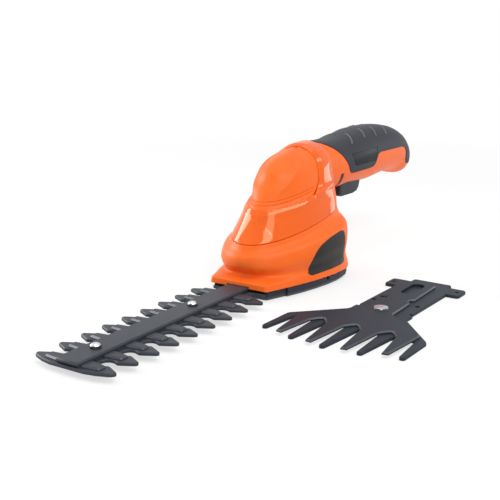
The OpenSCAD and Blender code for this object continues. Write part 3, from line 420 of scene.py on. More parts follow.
def bodySide(x, z, side, grow=0.0):
    # the surface point seen from the side at x and z
    low, high = 0.0, float(topRow)
    for _ in range(halvings):
        mid = (low + high) / 2
        frontX, frontZ, backX, backZ = smoothRow(bodyRows, mid, bodyCorners)[:4]
        xf, xb = bodyX(frontX) - grow, bodyX(backX) + grow
        k = max(0.0, min(1.0, (x - xf) / (xb - xf)))
        if bodyZ(frontZ) + (bodyZ(backZ) - bodyZ(frontZ)) * k < z:
            low = mid
        else:
            high = mid
    return bodyPoint(low, k, side, grow)


# Handle surface: place along the handle, top, bottom and half width, in shares
handleSize = {"neckX": 44.946, "length": 155.0, "midZ": 74.0, "height": 40.0, "halfWidth": 19.5, "power": 2.4}
handleRows = [
    (0.000, 0.410, -0.350, 0.790), (0.065, 0.410, -0.500, 0.860), (0.142, 0.400, -0.500, 0.920),
    (0.245, 0.415, -0.470, 0.970), (0.355, 0.460, -0.485, 1.000), (0.465, 0.495, -0.510, 1.000),
    (0.580, 0.500, -0.485, 1.000), (0.677, 0.475, -0.465, 0.995), (0.755, 0.425, -0.470, 0.975),
    (0.819, 0.350, -0.510, 0.925), (0.871, 0.265, -0.590, 0.870), (0.923, 0.135, -0.600, 0.770),
    (0.968, 0.010, -0.525, 0.620), (1.000, -0.110, -0.390, 0.420)]


def handleX(share):
    return handleSize["neckX"] + share * handleSize["length"]


def handleZ(share):
    return handleSize["midZ"] + share * handleSize["height"]


def handleRow(share):
    # the row at a place along the handle
    i = 0
    while i < len(handleRows) - 2 and share > handleRows[i + 1][0]:
        i += 1
    span = handleRows[i + 1][0] - handleRows[i][0]
    return smoothRow(handleRows, i + (share - handleRows[i][0]) / span)


def handlePoint(share, turn, grow=0.0):
    row = handleRow(share)
    top, low = handleZ(row[1]) + grow, handleZ(row[2]) - grow
    half = row[3] * handleSize["halfWidth"] + grow
    power = 2 / handleSize["power"]
    return (handleX(share) + grow * share**6, half * signedPow(math.cos(turn), power),
            (top + low) / 2 + (top - low) / 2 * signedPow(math.sin(turn), power))


def handleTurn(share, z, grow=0.0):
    # the turn at which the section stands at height z
    row = handleRow(share)
    top, low = handleZ(row[1]) + grow, handleZ(row[2]) - grow
    q = max(-1.0, min(1.0, (z - (top + low) / 2) / ((top - low) / 2)))
    return math.asin(signedPow(q, handleSize["power"] / 2))


formSet = {"rowSteps": 8, "bodySides": 120, "handleSteps": 90, "handleSides": 72}


def bodyForm(grow, detail):
    rows, sides = int(crownRow * formSet["rowSteps"] * detail), int(formSet["bodySides"] * detail)
    return closedForm([bodyRing(crownRow * r / rows, grow, sides) for r in range(rows + 1)])


def handleForm(grow, detail):
    steps, sides = int(formSet["handleSteps"] * detail), int(formSet["handleSides"] * detail)
    return closedForm([[handlePoint(s / steps, 2 * math.pi * i / sides, grow) for i in range(sides)]
                       for s in range(steps + 1)])


def joined(*forms):
    points, faces = [], []
    for p, f in forms:
        faces += [tuple(i + len(points) for i in face) for face in f]
        points += p
    return points, faces


# Side-view lines that divide the housing
lineSteps = 6  # between two points of a rounded line
hoodRear = [(0.800, 0.440), (0.818, 0.500), (0.860, 0.620), (0.890, 0.720), (0.899, 0.830), (0.890, 1.100)]
hoodRear = [(bodyX(x), bodyZ(z)) for x, z in rounded(hoodRear, lineSteps)]
capRear = [(0.600, 0.632), (0.640, 0.655), (0.672, 0.680), (0.697, 0.715), (0.712, 0.770), (0.770, 1.100)]
capRear = [(bodyX(x), bodyZ(z)) for x, z in rounded(capRear, lineSteps)]
badgeUpper = [(0.377, 0.065), (0.380, 0.100), (0.409, 0.185), (0.466, 0.250), (0.560, 0.293), (0.690, 0.323),
              (0.755, 0.327), (0.778, 0.309), (0.790, 0.240), (0.797, 0.150)]
badgeLower = [(0.377, 0.060), (0.400, 0.050), (0.480, 0.052), (0.675, 0.056), (0.775, 0.065), (0.790, 0.085),
              (0.797, 0.145)]
gripEdge = [(-0.006, 0.465), (0.045, 0.380), (0.090, 0.275), (0.125, 0.165), (0.155, 0.043),
            (0.178, -0.070), (0.190, -0.165), (0.205, -0.205), (0.235, -0.215), (0.400, -0.215),
            (0.430, -0.200), (0.448, -0.155), (0.462, -0.060), (0.475, 0.010), (0.500, 0.045),
            (0.765, 0.030), (0.814, -0.015), (0.838, -0.095), (0.846, -0.280), (0.868, -0.365),
            (0.920, -0.400), (1.100, -0.410)]
gripBadge = [(0.206, 0.145), (0.460, 0.150), (0.463, 0.130), (0.445, -0.075), (0.430, -0.090),
             (0.245, -0.095), (0.232, -0.080), (0.203, 0.125)]


def crossing(row, line, grow=0.0):
    # where along a level the side-view line crosses it
    low, high = 0.02, 1.0
    for _ in range(halvings):
        mid = (low + high) / 2
        p = bodyPoint(row, mid, 1, grow)
        if p[0] < lineAt(line, p[2], 1, 0):
            low = mid
        else:
            high = mid
    return low


# Housing halves: one smooth form of body and handle, hollowed, cut out for what sits in it, then parted
shellSet = {"wall": 2.4, "voxel": 0.7, "seam": 0.12, "fine": 1.6, "coarse": 0.6, "hollowRows": 70,
            "openDrop": 4, "zoneHalf": 70, "zoneStart": 1.5, "gripDepth": 1.6, "gripFront": -0.03,
            "gripRear": 1.1, "gripTop": 0.8, "badgeDepth": 1.2, "badgeFoot": 0.6, "badgeSpan": 6,
            "badgeRows": 60, "halfGap": 0.06, "sharpAngle": 28}
neckSet = {"front": 38, "frontEase": 12, "rear": 80, "rearEase": 14, "low": 44, "lowEase": 8, "passes": 90,
           "pull": 0.5}
clear = {"front": -90, "side": 60, "low": -5}  # where cutting tools end, outside the housing
halfBox = {"x": (-150, 300), "side": 120, "z": (-50, 200)}  # holds a whole half of the housing
jawSet = {"x": -28.035, "half": 8.5, "top": 8.6}  # the blade's way in under the nose
lockSet = {"x": 64.3, "z": 61.1, "half": 2.05, "halfHeight": 6.05}
socketSet = {"x": 184.9, "z": 64.2, "bore": 4.32, "rim": 4.9, "depth": 40}
triggerSet = {"pivotX": 82.456, "pivotZ": 61.5, "slotFront": 5, "slotRear": 31.5, "slotHalf": 8.5,
              "bore": 1.54, "boreFrom": -20, "boreLength": 40, "front": 4.5, "length": 34.0, "drop": 15.5,
              "half": 8.0, "bevel": 1.1, "bevelSteps": 4, "bevelAngle": 40}
screwSet = {"places": [(-33.066, 20.02), (46.926, 24.976), (58.121, 80.0), (124.926, 57.52), (176.076, 60.0)],
            "bodyEnd": 50, "boss": 4.9, "bossInset": 0.9, "seat": 6, "well": 3.3, "pilot": 1.55,
            "pilotFrom": -9, "pilotLength": 30, "pilotSides": 20}
outer = joined(bodyForm(0.0, shellSet["fine"]), handleForm(0.0, shellSet["fine"]))
target = addMesh("target", *outer)
shell = addMesh("leftShell", *outer)
remesh = shell.modifiers.new("remesh", "REMESH")
remesh.mode = "VOXEL"
remesh.voxel_size = shellSet["voxel"] * mm
bake(shell)
neck = shell.vertex_groups.new(name="neck")
rest = shell.vertex_groups.new(name="rest")
for v in shell.data.vertices:
    x, z = v.co.x / mm, v.co.z / mm
    w = ease((x - neckSet["front"]) / neckSet["frontEase"])
    w *= ease((neckSet["rear"] - x) / neckSet["rearEase"])
    w *= ease((z - neckSet["low"]) / neckSet["lowEase"])
    neck.add([v.index], w, "REPLACE")
    rest.add([v.index], 1 - w, "REPLACE")
wrap = shell.modifiers.new("wrap", "SHRINKWRAP")
wrap.target = target
wrap.vertex_group = "rest"
easeNeck = shell.modifiers.new("easeNeck", "SMOOTH")
easeNeck.vertex_group = "neck"
easeNeck.factor = neckSet["pull"]
easeNeck.iterations = neckSet["passes"]
bake(shell)
bpy.data.objects.remove(target)
shell.vertex_groups.clear()

# hollow, open at the foot
inside, sides = -shellSet["wall"], int(formSet["bodySides"] * shellSet["coarse"])
hollow = [[(x, y, z - shellSet["openDrop"]) for x, y, z in bodyRing(0, inside, sides)]]
hollow += [bodyRing(crownRow * r / shellSet["hollowRows"], inside, sides)
           for r in range(shellSet["hollowRows"] + 1)]
carve(shell, addMesh("hollow", *closedForm(hollow)))
carve(shell, addMesh("hollow", *handleForm(inside, shellSet["coarse"])))

# the hood and the cap stand in front of their rear line and above the crease
creaseFront, creaseBack = bodyPoint(creaseRow, 0.0, 1), bodyPoint(creaseRow, 1.0, 1)


def creaseZ(x):
    slope = (creaseBack[2] - creaseFront[2]) / (creaseBack[0] - creaseFront[0])
    return creaseFront[2] + (x - creaseFront[0]) * slope


zone = [(x, z) for x, z in hoodRear if z > creaseZ(x)]
zoneX = zone[0][0] - shellSet["zoneStart"]
zone = [(x, creaseZ(x)) for x in (clear["front"], zoneX)] + zone + [(clear["front"], zone[-1][1])]
carve(shell, prism("zone", zone, -shellSet["zoneHalf"], shellSet["zoneHalf"]))
print("stage: housing form")

# beds for the soft grip and the plates
gripTop = handleZ(shellSet["gripTop"])
bed = [(handleX(shellSet["gripFront"]), gripTop)] + [(handleX(x), handleZ(z)) for x, z in gripEdge]
recess = prism("recess", bed + [(handleX(shellSet["gripRear"]), gripTop)], -clear["side"], clear["side"])
carve(recess, addMesh("core", *handleForm(-shellSet["gripDepth"] - shellSet["seam"], 1.0)))
carve(shell, recess)
leaf = [(bodyX(x), bodyZ(z)) for x, z in badgeUpper + badgeLower[::-1]]
recess = prism("recess", leaf, -clear["side"], clear["side"])
levels = [shellSet["badgeFoot"] + shellSet["badgeSpan"] * r / shellSet["badgeRows"]
          for r in range(shellSet["badgeRows"] + 1)]
core = closedForm([bodyRing(row, -shellSet["badgeDepth"], formSet["bodySides"]) for row in levels])
carve(recess, addMesh("core", *core))
carve(shell, recess)

# slots for the trigger, the lock button, the charge socket and the blade
triggerX, triggerZ = triggerSet["pivotX"], triggerSet["pivotZ"]
carve(shell, block("slot", triggerX - triggerSet["slotFront"], triggerX + triggerSet["slotRear"],
                   -triggerSet["slotHalf"], triggerSet["slotHalf"], 0, triggerZ))
carve(shell, block("slot", lockSet["x"] - lockSet["half"], lockSet["x"] + lockSet["half"],
                   -clear["side"], clear["side"],
                   lockSet["z"] - lockSet["halfHeight"], lockSet["z"] + lockSet["halfHeight"]))
carve(shell, rod("slot", (socketSet["x"], 0, socketSet["z"]), (1, 0, 0), socketSet["bore"],
                 socketSet["depth"]))
carve(shell, block("slot", clear["front"], jawSet["x"], -jawSet["half"], jawSet["half"],
                   clear["low"], jawSet["top"]))

# screw bosses, bored from the left side
withinBody = bodyForm(-screwSet["bossInset"], shellSet["coarse"])
withinHandle = handleForm(-screwSet["bossInset"], shellSet["coarse"])
for x, z in screwSet["places"]:
    boss = rod("boss", (x, -clear["side"], z), (0, 1, 0), screwSet["boss"], 2 * clear["side"])
    carve(boss, addMesh("within", *(withinBody if x < screwSet["bodyEnd"] else withinHandle)), "INTERSECT")
    carve(shell, boss, "UNION")
for x, z in screwSet["places"]:
    carve(shell, rod("well", (x, screwSet["seat"], z), (0, 1, 0), screwSet["well"], clear["side"]))
    carve(shell, rod("well", (x, screwSet["pilotFrom"], z), (0, 1, 0), screwSet["pilot"],
                     screwSet["pilotLength"], screwSet["pilotSides"]))
rightShell = bpy.data.objects.new("rightShell", shell.data.copy())
scene.collection.objects.link(rightShell)
carve(shell, block("half", *halfBox["x"], -shellSet["halfGap"], halfBox["side"], *halfBox["z"]))
carve(rightShell, block("half", *halfBox["x"], -halfBox["side"], shellSet["halfGap"], *halfBox["z"]))
settle(shell, "body", satinOrange, ["left_shell"], shellSet["sharpAngle"])
settle(rightShell, "body", satinOrange, ["right_shell"], shellSet["sharpAngle"])
print("stage: housing halves", len(shell.data.polygons), len(rightShell.data.polygons))

# Hood: a band round the front and an arch behind the cap, proud of both; its rim slopes in towards the cap
hoodSet = {"thick": 2.2, "roll": 0.7, "hemRoll": 0.45, "rollSteps": 6, "hem": 0.3, "proud": 1.8,
           "hemRow": 6.13, "swellRow": 7.5, "swellSpan": 1.1, "rimBelow": 0.10, "rimZone": 4,
           "bandRows": 44, "bandSpread": 1.6, "archRows": 90, "archSpread": 1.25, "cols": 116,
           "colSpread": 1.7, "archCols": 32, "rearGap": 0.012, "capGap": 0.005, "slope": 3.2,
           "slopeDrop": 1.1, "slopeEase": 0.14}


def hoodGrow(row):
    swell = ease((row - hoodSet["swellRow"]) / hoodSet["swellSpan"])
    return hoodSet["hem"] + (hoodSet["proud"] - hoodSet["hem"]) * swell


def rimDrop(away):
    # how far the rim's slope lies under the surface, with a soft edge where the slope starts
    t, w = away / hoodSet["slope"], hoodSet["slopeEase"]
    if t < 1 - w:
        return hoodSet["slopeDrop"] * (1 - t)
    return hoodSet["slopeDrop"] * max(0.0, 1 + w - t) ** 2 / (4 * w)


def hoodRoll(p):
    # tight along the lower and rear edges, round along the rim
    rimLine = [bodyRows[rimFootRow][:2], bodyRows[rimFootRow][2:4]]
    rimZ = bodyZ(lineAt(rimLine, (p.x - bodySize["noseX"]) / bodySize["length"]))
    beforeArch = p.x < lineAt(capRear, p.z, 1, 0) + hoodSet["rimZone"]
    return hoodSet["roll"] if beforeArch and p.z > rimZ - hoodSet["rimZone"] else hoodSet["hemRoll"]


proud, archCols = hoodSet["proud"], hoodSet["archCols"]
hoodTop = rimRow - hoodSet["rimBelow"]
bandRows = []
for r in range(hoodSet["bandRows"] + 1):
    rise = 1 - (1 - r / hoodSet["bandRows"]) ** hoodSet["bandSpread"]
    bandRows.append(hoodSet["hemRow"] + (hoodTop - hoodSet["hemRow"]) * rise)
archRows = [hoodTop + (topRow - hoodTop) * (r / hoodSet["archRows"]) ** hoodSet["archSpread"]
            for r in range(1, hoodSet["archRows"] + 1)]
topEnd = crossing(hoodTop, hoodRear, proud) - hoodSet["rearGap"]
archShare = crossing(bandRows[-1], capRear, proud) / crossing(bandRows[-1], hoodRear, proud)
split = hoodSet["cols"] - archCols
spread = [archShare * (c / split) ** hoodSet["colSpread"] for c in range(split)]
spread += [archShare + (1 - archShare) * c / archCols for c in range(archCols + 1)]
points, faces = [], []
for side in (1, -1):
    base = len(points)
    for row in bandRows:
        grow = hoodGrow(row)
        end = crossing(row, hoodRear, grow) - hoodSet["rearGap"]
        corner = Vector(bodyPoint(row, end * spread[split], side, grow))
        for c, s in enumerate(spread):
            p = Vector(bodyPoint(row, end * s, side, grow))
            toRim = (Vector(bodyPoint(hoodTop, topEnd * s, side, proud)) - p).length
            away = math.hypot(toRim, (p - corner).length if c > split else 0.0)
            points.append(bodyPoint(row, end * s, side, grow - rimDrop(away)))
    faces += gridFaces(len(bandRows), len(spread), side > 0, base)
    start = base + (len(bandRows) - 1) * len(spread) + split
    below = [start + c for c in range(archCols + 1)]
    for row in archRows:
        near = crossing(row, capRear, proud) + hoodSet["capGap"]
        far = crossing(row, hoodRear, proud) - hoodSet["rearGap"]
        inner = Vector(bodyPoint(row, near, side, proud))
        here = []
        for c in range(archCols + 1):
            here.append(len(points))
            k = near + (far - near) * c / archCols
            away = (Vector(bodyPoint(row, k, side, proud)) - inner).length
            points.append(bodyPoint(row, k, side, proud - rimDrop(away)))
        for c in range(archCols):
            f = (below[c], below[c + 1], here[c + 1], here[c])
            faces.append(tuple(reversed(f)) if side > 0 else f)
        below = here
hood = skin("motorHood", points, faces, hoodSet["thick"], hoodRoll, hoodSet["rollSteps"])
settle(hood, "body", glossOrange, ["motor_hood"], angle=50)

# Cap: the hump inside the hood's rim, with two fine grooves round its foot
capSet = {"thick": 2.2, "roll": 0.6, "footRow": 8.62, "fineStep": 0.02, "fineRows": 55, "rows": 80,
          "cols": 90, "colSpread": 1.7, "rearGap": 0.006, "leastEnd": 0.02, "grooves": (9.02, 9.34),
          "grooveWidth": 0.07, "grooveDepth": 0.55, "grooveEnd": 0.09, "ridgeHeight": 1.7,
          "ridgeWidth": 0.10, "ridgeFoot": (9.4, 1.2), "ridgeTop": (13.6, 1.6),
          "ridge": [(9.3, 0.030), (9.45, 0.038), (10.45, 0.090), (11.5, 0.190), (12.45, 0.315),
                    (13.0, 0.400)]}


def capGrow(row, k, end):
    # two grooves round the foot and a soft ridge where the front turns to each side
    (foot, footSpan), (top, topSpan) = capSet["ridgeFoot"], capSet["ridgeTop"]
    away = (math.sqrt(k) - math.sqrt(max(0.0, lineAt(capSet["ridge"], row)))) / capSet["ridgeWidth"]
    fade = ease((row - foot) / footSpan) * ease((top - row) / topSpan)
    groove = sum(math.exp(-((row - g) / capSet["grooveWidth"]) ** 2) for g in capSet["grooves"])
    groove *= ease((end - k) / capSet["grooveEnd"])
    return capSet["ridgeHeight"] * fade / (1 + away * away) - capSet["grooveDepth"] * groove


capRows = [capSet["footRow"] + capSet["fineStep"] * r for r in range(capSet["fineRows"])]
capRows += [capRows[-1] + (topRow - capRows[-1]) * (r / capSet["rows"]) for r in range(1, capSet["rows"] + 1)]
points, faces = [], []
for side in (1, -1):
    base = len(points)
    for row in capRows:
        end = max(capSet["leastEnd"], crossing(row, capRear) - capSet["rearGap"])
        for c in range(capSet["cols"] + 1):
            k = end * (c / capSet["cols"]) ** capSet["colSpread"]
            points.append(bodyPoint(row, k, side, capGrow(row, k, end)))
    faces += gridFaces(len(capRows), capSet["cols"] + 1, side > 0, base)
cap = skin("hoodCap", points, faces, capSet["thick"], capSet["roll"])
settle(cap, "body", satinOrange, ["hood_cap"], angle=50)
print("stage: hood and cap")


# Bare plates let into the sides
def plateBetween(name, upper, lower, place, sizes):
    # a pair of panels between two side-view lines, laid on the surface by place
    points, faces = [], []
    x0, x1 = upper[0][0], upper[-1][0]
    cols, rows = sizes["cols"], sizes["rows"]
    for side in (-1, 1):
        base = len(points)
        for c in range(cols + 1):
            x = x0 + (x1 - x0) * (1 - math.cos(math.pi * c / cols)) / 2
            top, low = lineAt(upper, x), lineAt(lower, x)
            points += [place(x, low + (top - low) * r / rows, side) for r in range(rows + 1)]
        faces += gridFaces(cols + 1, rows + 1, side < 0, base)
    return skin(name, points, faces, sizes["thick"], sizes["roll"])


sideSet = {"grow": 0.25, "thick": 1.0, "roll": 0.35, "cols": 80, "rows": 30, "lineSteps": 5}


def bodyPlace(x, z, side):
    return bodySide(bodyX(x), bodyZ(z), side, sideSet["grow"])


sideUpper = rounded(badgeUpper, sideSet["lineSteps"])
sideLower = rounded(badgeLower, sideSet["lineSteps"])
sidePlates = plateBetween("sidePlates", sideUpper, sideLower, bodyPlace, sideSet)
settle(sidePlates, "body", badgePlate, ["side_badges"], angle=50)

# Soft grip over the handle, with a shallow bed for the plates
gripSet = {"grow": 0.4, "thick": 1.9, "roll": 0.45, "bed": 0.9, "bedEase": 0.9, "bedFrom": 0.19,
           "bedTo": 0.48, "lap": 0.5, "cols": 120, "rows": 260, "start": 0.030, "endRows": 6, "endBulge": 0.7,
           "dense": [(0.829, 0.0006, 30), (0.425, 0.0012, 65)]}  # extra rows: start, step and count


def outlineDistance(outline, x, z):
    # signed distance to a closed outline, negative inside
    best, inside = 1e9, False
    for i in range(len(outline)):
        ax, az = outline[i - 1]
        bx, bz = outline[i]
        dx, dz = bx - ax, bz - az
        t = max(0.0, min(1.0, ((x - ax) * dx + (z - az) * dz) / (dx * dx + dz * dz)))
        best = min(best, math.hypot(x - ax - t * dx, z - az - t * dz))
        if (az > z) != (bz > z) and x < ax + (z - az) * dx / dz:
            inside = not inside
    return -best if inside else best


bedLine = [(handleX(x), handleZ(z)) for x, z in gripBadge]
grow, cols, endRows = gripSet["grow"], gripSet["cols"], gripSet["endRows"]
shares = [gripSet["start"] + (1 - gripSet["start"]) * r / gripSet["rows"] for r in range(gripSet["rows"] + 1)]
for first, step, count in gripSet["dense"]:
    shares += [first + step * r for r in range(count)]
shares = sorted(set(shares))
points = []
for share in shares:
    edge = handleTurn(share, handleZ(lineAt(gripEdge, share)) + gripSet["lap"], grow)
    for c in range(cols + 1):
        turn = edge + (math.pi - 2 * edge) * c / cols
        x, y, z = handlePoint(share, turn, grow)
        sunk = 0.0
        if gripSet["bedFrom"] < share < gripSet["bedTo"]:
            sunk = gripSet["bed"] * ease(0.5 - outlineDistance(bedLine, x, z) / gripSet["bedEase"])
        points.append(handlePoint(share, turn, grow - sunk) if sunk else (x, y, z))
for r in range(1, endRows + 1):  # closes in round the charge socket
    f, bulge = ease(r / endRows), gripSet["endBulge"] * math.sin(math.pi / 2 * r / endRows)
    for c in range(cols + 1):
        turn = -math.pi / 2 + 2 * math.pi * c / cols
        x, y, z = handlePoint(1.0, turn, grow)
        rimY, rimZ = socketSet["rim"] * math.cos(turn), socketSet["z"] + socketSet["rim"] * math.sin(turn)
        points.append((x + bulge, y + (rimY - y) * f, z + (rimZ - z) * f))
grip = skin("softGrip", points, gridFaces(len(shares) + endRows, cols + 1), gripSet["thick"], gripSet["roll"])
settle(grip, "body", gripRubber, ["grip_overmould"], angle=50)

flapSet = {"sunk": 0.25, "thick": 0.6, "roll": 0.2, "cols": 90, "rows": 24}
gripUpper = [(0.203, 0.1255), (0.206, 0.145), (0.460, 0.150), (0.463, 0.131)]
gripLower = [(0.203, 0.1245), (0.232, -0.080), (0.245, -0.095), (0.430, -0.090), (0.445, -0.075),
             (0.463, 0.129)]


def gripPlace(x, z, side):
    level = gripSet["grow"] - flapSet["sunk"]
    p = handlePoint(x, handleTurn(x, handleZ(z), level), level)
    return (p[0], side * p[1], p[2])


gripPlates = plateBetween("gripPlates", gripUpper, gripLower, gripPlace, flapSet)
settle(gripPlates, "body", badgeGloss, ["grip_badges"], angle=50)
print("stage: grip and plates")

# Base plate: the sole under the body, stepped in to a narrower jaw below the nose
baseSet = {"inset": 1.0, "jawStep": 1.5, "jawLean": 0.6, "count": 480, "slotHalf": 20.3, "slotFloor": 3.28,
           "latch": (26.665, 41.265), "latchHalf": 6.3, "latchTop": 5, "notch": (8.4, 10.8), "notchIn": 30,
           "notchFloor": 4.4, "top": 30}
baseLevels = [(2.5, 0.0), (2.2, 0.12), (0.25, 2.3), (0.0, 2.6), (0.0, 6.6), (0.28, 6.88), (2.4, 6.88),
              (2.4, 2.4)]  # inset and height


def baseRing(inset, z):
    full = bodyRing(0, -baseSet["inset"] - inset, baseSet["count"])
    slim = bodyRing(0, -baseSet["inset"] - baseSet["jawStep"] - inset, baseSet["count"])
    ring = []
    for wide, narrow in zip(full, slim):
        p = wide if wide[0] > jawSet["x"] + baseSet["jawLean"] * inset else narrow
        ring.append((p[0], p[1], z))
    return ring


base = addMesh("basePlate", *closedForm([baseRing(inset, z) for inset, z in baseLevels]))
carve(base, block("slot", clear["front"], jawSet["x"], -baseSet["slotHalf"], baseSet["slotHalf"],
                  baseSet["slotFloor"], baseSet["top"]))
carve(base, block("slot", *baseSet["latch"], -baseSet["latchHalf"], baseSet["latchHalf"], clear["low"],
                  baseSet["latchTop"]))
carve(base, block("notch", *baseSet["notch"], -clear["side"], -baseSet["notchIn"], baseSet["notchFloor"],
                  baseSet["top"]))
settle(base, "body", darkPlastic, ["base_plate"], angle=30)

# Trigger: a rounded block under the handle, in shares of its length and drop
triggerLine = [(0.035, -0.160), (0.010, 0.000), (-0.005, 0.800), (0.040, 0.925), (0.120, 0.976),
               (0.680, 1.000), (0.840, 0.945), (0.935, 0.790), (0.988, 0.515), (0.988, 0.333),
               (0.360, 0.333), (0.250, 0.140), (0.215, -0.160)]
triggerFront = triggerX - triggerSet["front"]
triggerLine = [(triggerFront + x * triggerSet["length"], triggerZ - z * triggerSet["drop"])
               for x, z in triggerLine]
trigger = prism("triggerLever", triggerLine, -triggerSet["half"], triggerSet["half"])
soften = trigger.modifiers.new("soften", "BEVEL")
soften.width = triggerSet["bevel"] * mm
soften.segments = triggerSet["bevelSteps"]
soften.limit_method = "ANGLE"
soften.angle_limit = math.radians(triggerSet["bevelAngle"])
bake(trigger)
carve(trigger, rod("bore", (triggerX, triggerSet["boreFrom"], triggerZ), (0, 1, 0), triggerSet["bore"],
                   triggerSet["boreLength"]))
settle(trigger, "trigger", darkPlastic, ["trigger"], angle=40)
print("stage: base and trigger")


# Blades


def inward(line, by, closed):
    # the line moved to its left by a set distance; sharp corners reach out no further than sharpest
    sharpest, tiny = 1.6, 1e-6
    n = len(line)
    out = []
    for i, c in enumerate(line):
        a = line[i - 1] if closed or i > 0 else c
        b = line[(i + 1) % n] if closed or i < n - 1 else c
        turns = []
        for p, q in ((a, c), (c, b)):
            size = math.hypot(q[0] - p[0], q[1] - p[1])
            if size > tiny:
                turns.append((-(q[1] - p[1]) / size, (q[0] - p[0]) / size))
        nx, ny = sum(t[0] for t in turns), sum(t[1] for t in turns)
        size = max(math.hypot(nx, ny), tiny)
        stretch = min(sharpest, 2 / size if len(turns) == 2 else 1.0) / size * by
        out.append((c[0] + nx * stretch, c[1] + ny * stretch))
    return out


def ground(outline, z0, z1, bevel, drop):
    # a flat plate whose upper edge is ground back all round
    ring = outline if doubleArea(outline) > 0 else outline[::-1]
    levels = [(ring, z0), (ring, z1 - drop), (inward(ring, bevel, True), z1)]
    return closedForm([[(x, y, z) for x, y in line] for line, z in levels])


def toothCell(line, rootY, z0, z1, bevel, drop):
    # one pitch of a blade: the tooth's edge is ground back, the ends and the root are square
    top = inward(line, bevel, False)
    top[0], top[-1] = (line[0][0], top[0][1]), (line[-1][0], top[-1][1])
    n = len(line)
    levels = [(line, z0), (line, z1 - drop), (top, z1)]
    points = [(x, y, z) for level, z in levels for x, y in level]
    points += [(x, rootY, z) for z in (z0, z1) for x in (line[0][0], line[-1][0])]
    faces = []
    for level in (0, n):
        faces += [(level + i, level + i + 1, level + n + i + 1, level + n + i) for i in range(n - 1)]
    faces.append((*range(n - 1, -1, -1), 3 * n, 3 * n + 1))
    faces.append((*range(2 * n, 3 * n), 3 * n + 3, 3 * n + 2))
    faces.append((3 * n, 0, n, 2 * n, 3 * n + 2))
    faces.append((n - 1, 3 * n + 1, 3 * n + 3, 3 * n - 1, 2 * n - 1))
    faces.append((3 * n + 1, 3 * n, 3 * n + 2, 3 * n + 3))
    return points, faces


def groundEdge(obj):
    # the sloping faces of a cutting edge are left as ground steel
    steep, flat = 0.15, 0.93
    obj.data.materials.append(groundSteel)
    for f in obj.data.polygons:
        if steep < f.normal.z < flat:
            f.material_index = 1


def newTree(name, inputs):
    # an empty tree with geometry in and out, its own named inputs and a finish
    tree = bpy.data.node_groups.new(name, "GeometryNodeTree")
    for label, kind in [("Geometry", "Geometry"), *inputs, ("Finish", "Material")]:
        tree.interface.new_socket(label, in_out="INPUT", socket_type="NodeSocket" + kind)
    tree.interface.new_socket("Geometry", in_out="OUTPUT", socket_type="NodeSocketGeometry")
    return tree, tree.nodes.new("NodeGroupInput"), tree.nodes.new, tree.links.new


def closeTree(start, add, link, geometry):
    # every tree ends as real meshes in one finish
    real, paint = add("GeometryNodeRealizeInstances"), add("GeometryNodeSetMaterial")
    end = add("NodeGroupOutput")
    link(geometry, real.inputs["Geometry"])
    link(real.outputs["Geometry"], paint.inputs["Geometry"])
    link(start.outputs["Finish"], paint.inputs["Material"])
    link(paint.outputs["Geometry"], end.inputs["Geometry"])


def repeated(start, add, link, label, points):
    # the object given by one input, at each of the points
    piece, place = add("GeometryNodeObjectInfo"), add("GeometryNodeInstanceOnPoints")
    link(start.outputs[label], piece.inputs["Object"])
    link(points, place.inputs["Points"])
    link(piece.outputs["Geometry"], place.inputs["Instance"])
    return place.outputs["Instances"]


def rowTree():
    # a row of one tooth at an even pitch, joined to the blade's ends and mirrored to its other side
    tree, start, add, link = newTree("toothRow", [("Tooth", "Object"), ("Count", "Int"), ("Pitch", "Float"),
                                                  ("First", "Float")])
    first, pitch = add("ShaderNodeCombineXYZ"), add("ShaderNodeCombineXYZ")
    link(start.outputs["First"], first.inputs["X"])
    link(start.outputs["Pitch"], pitch.inputs["X"])
    line = add("GeometryNodeMeshLine")
    link(start.outputs["Count"], line.inputs["Count"])
    link(first.outputs[0], line.inputs["Start Location"])
    link(pitch.outputs[0], line.inputs["Offset"])
    both = add("GeometryNodeJoinGeometry")
    link(repeated(start, add, link, "Tooth", line.outputs["Mesh"]), both.inputs["Geometry"])
    link(start.outputs["Geometry"], both.inputs["Geometry"])
    real = add("GeometryNodeRealizeInstances")
    link(both.outputs["Geometry"], real.inputs["Geometry"])
    mirror, flip = add("GeometryNodeTransform"), add("GeometryNodeFlipFaces")
    mirror.inputs["Scale"].default_value = (1, -1, 1)
    link(real.outputs["Geometry"], mirror.inputs["Geometry"])
    link(mirror.outputs["Geometry"], flip.inputs["Mesh"])
    whole = add("GeometryNodeJoinGeometry")
    link(real.outputs["Geometry"], whole.inputs["Geometry"])
    link(flip.outputs["Mesh"], whole.inputs["Geometry"])
    closeTree(start, add, link, whole.outputs["Geometry"])
    return tree


def placedTree():
    # one piece repeated at each point of a guide
    tree, start, add, link = newTree("placedPieces", [("Piece", "Object")])
    closeTree(start, add, link, repeated(start, add, link, "Piece", start.outputs["Geometry"]))
    return tree


def sweepTree():
    # a round bead swept along guide lines
    tree, start, add, link = newTree("sweptBeads", [("Radius", "Float")])
    guide = add("GeometryNodeMeshToCurve")
    link(start.outputs["Geometry"], guide.inputs["Mesh"])
    ring = add("GeometryNodeCurvePrimitiveCircle")
    ring.inputs["Resolution"].default_value = 12
    link(start.outputs["Radius"], ring.inputs["Radius"])
    sweep = add("GeometryNodeCurveToMesh")
    sweep.inputs["Fill Caps"].default_value = True
    link(guide.outputs["Curve"], sweep.inputs["Curve"])
    link(ring.outputs["Curve"], sweep.inputs["Profile Curve"])
    closeTree(start, add, link, sweep.outputs["Mesh"])
    return tree


def runTree(obj, tree, **values):
    # sets the named inputs by their identifiers, then keeps the result as a plain mesh
    step = obj.modifiers.new("nodes", "NODES")
    step.node_group = tree
    for item in tree.interface.items_tree:
        if item.in_out == "INPUT" and item.name in values:
            step[item.identifier] = values[item.name]
    return bake(obj)


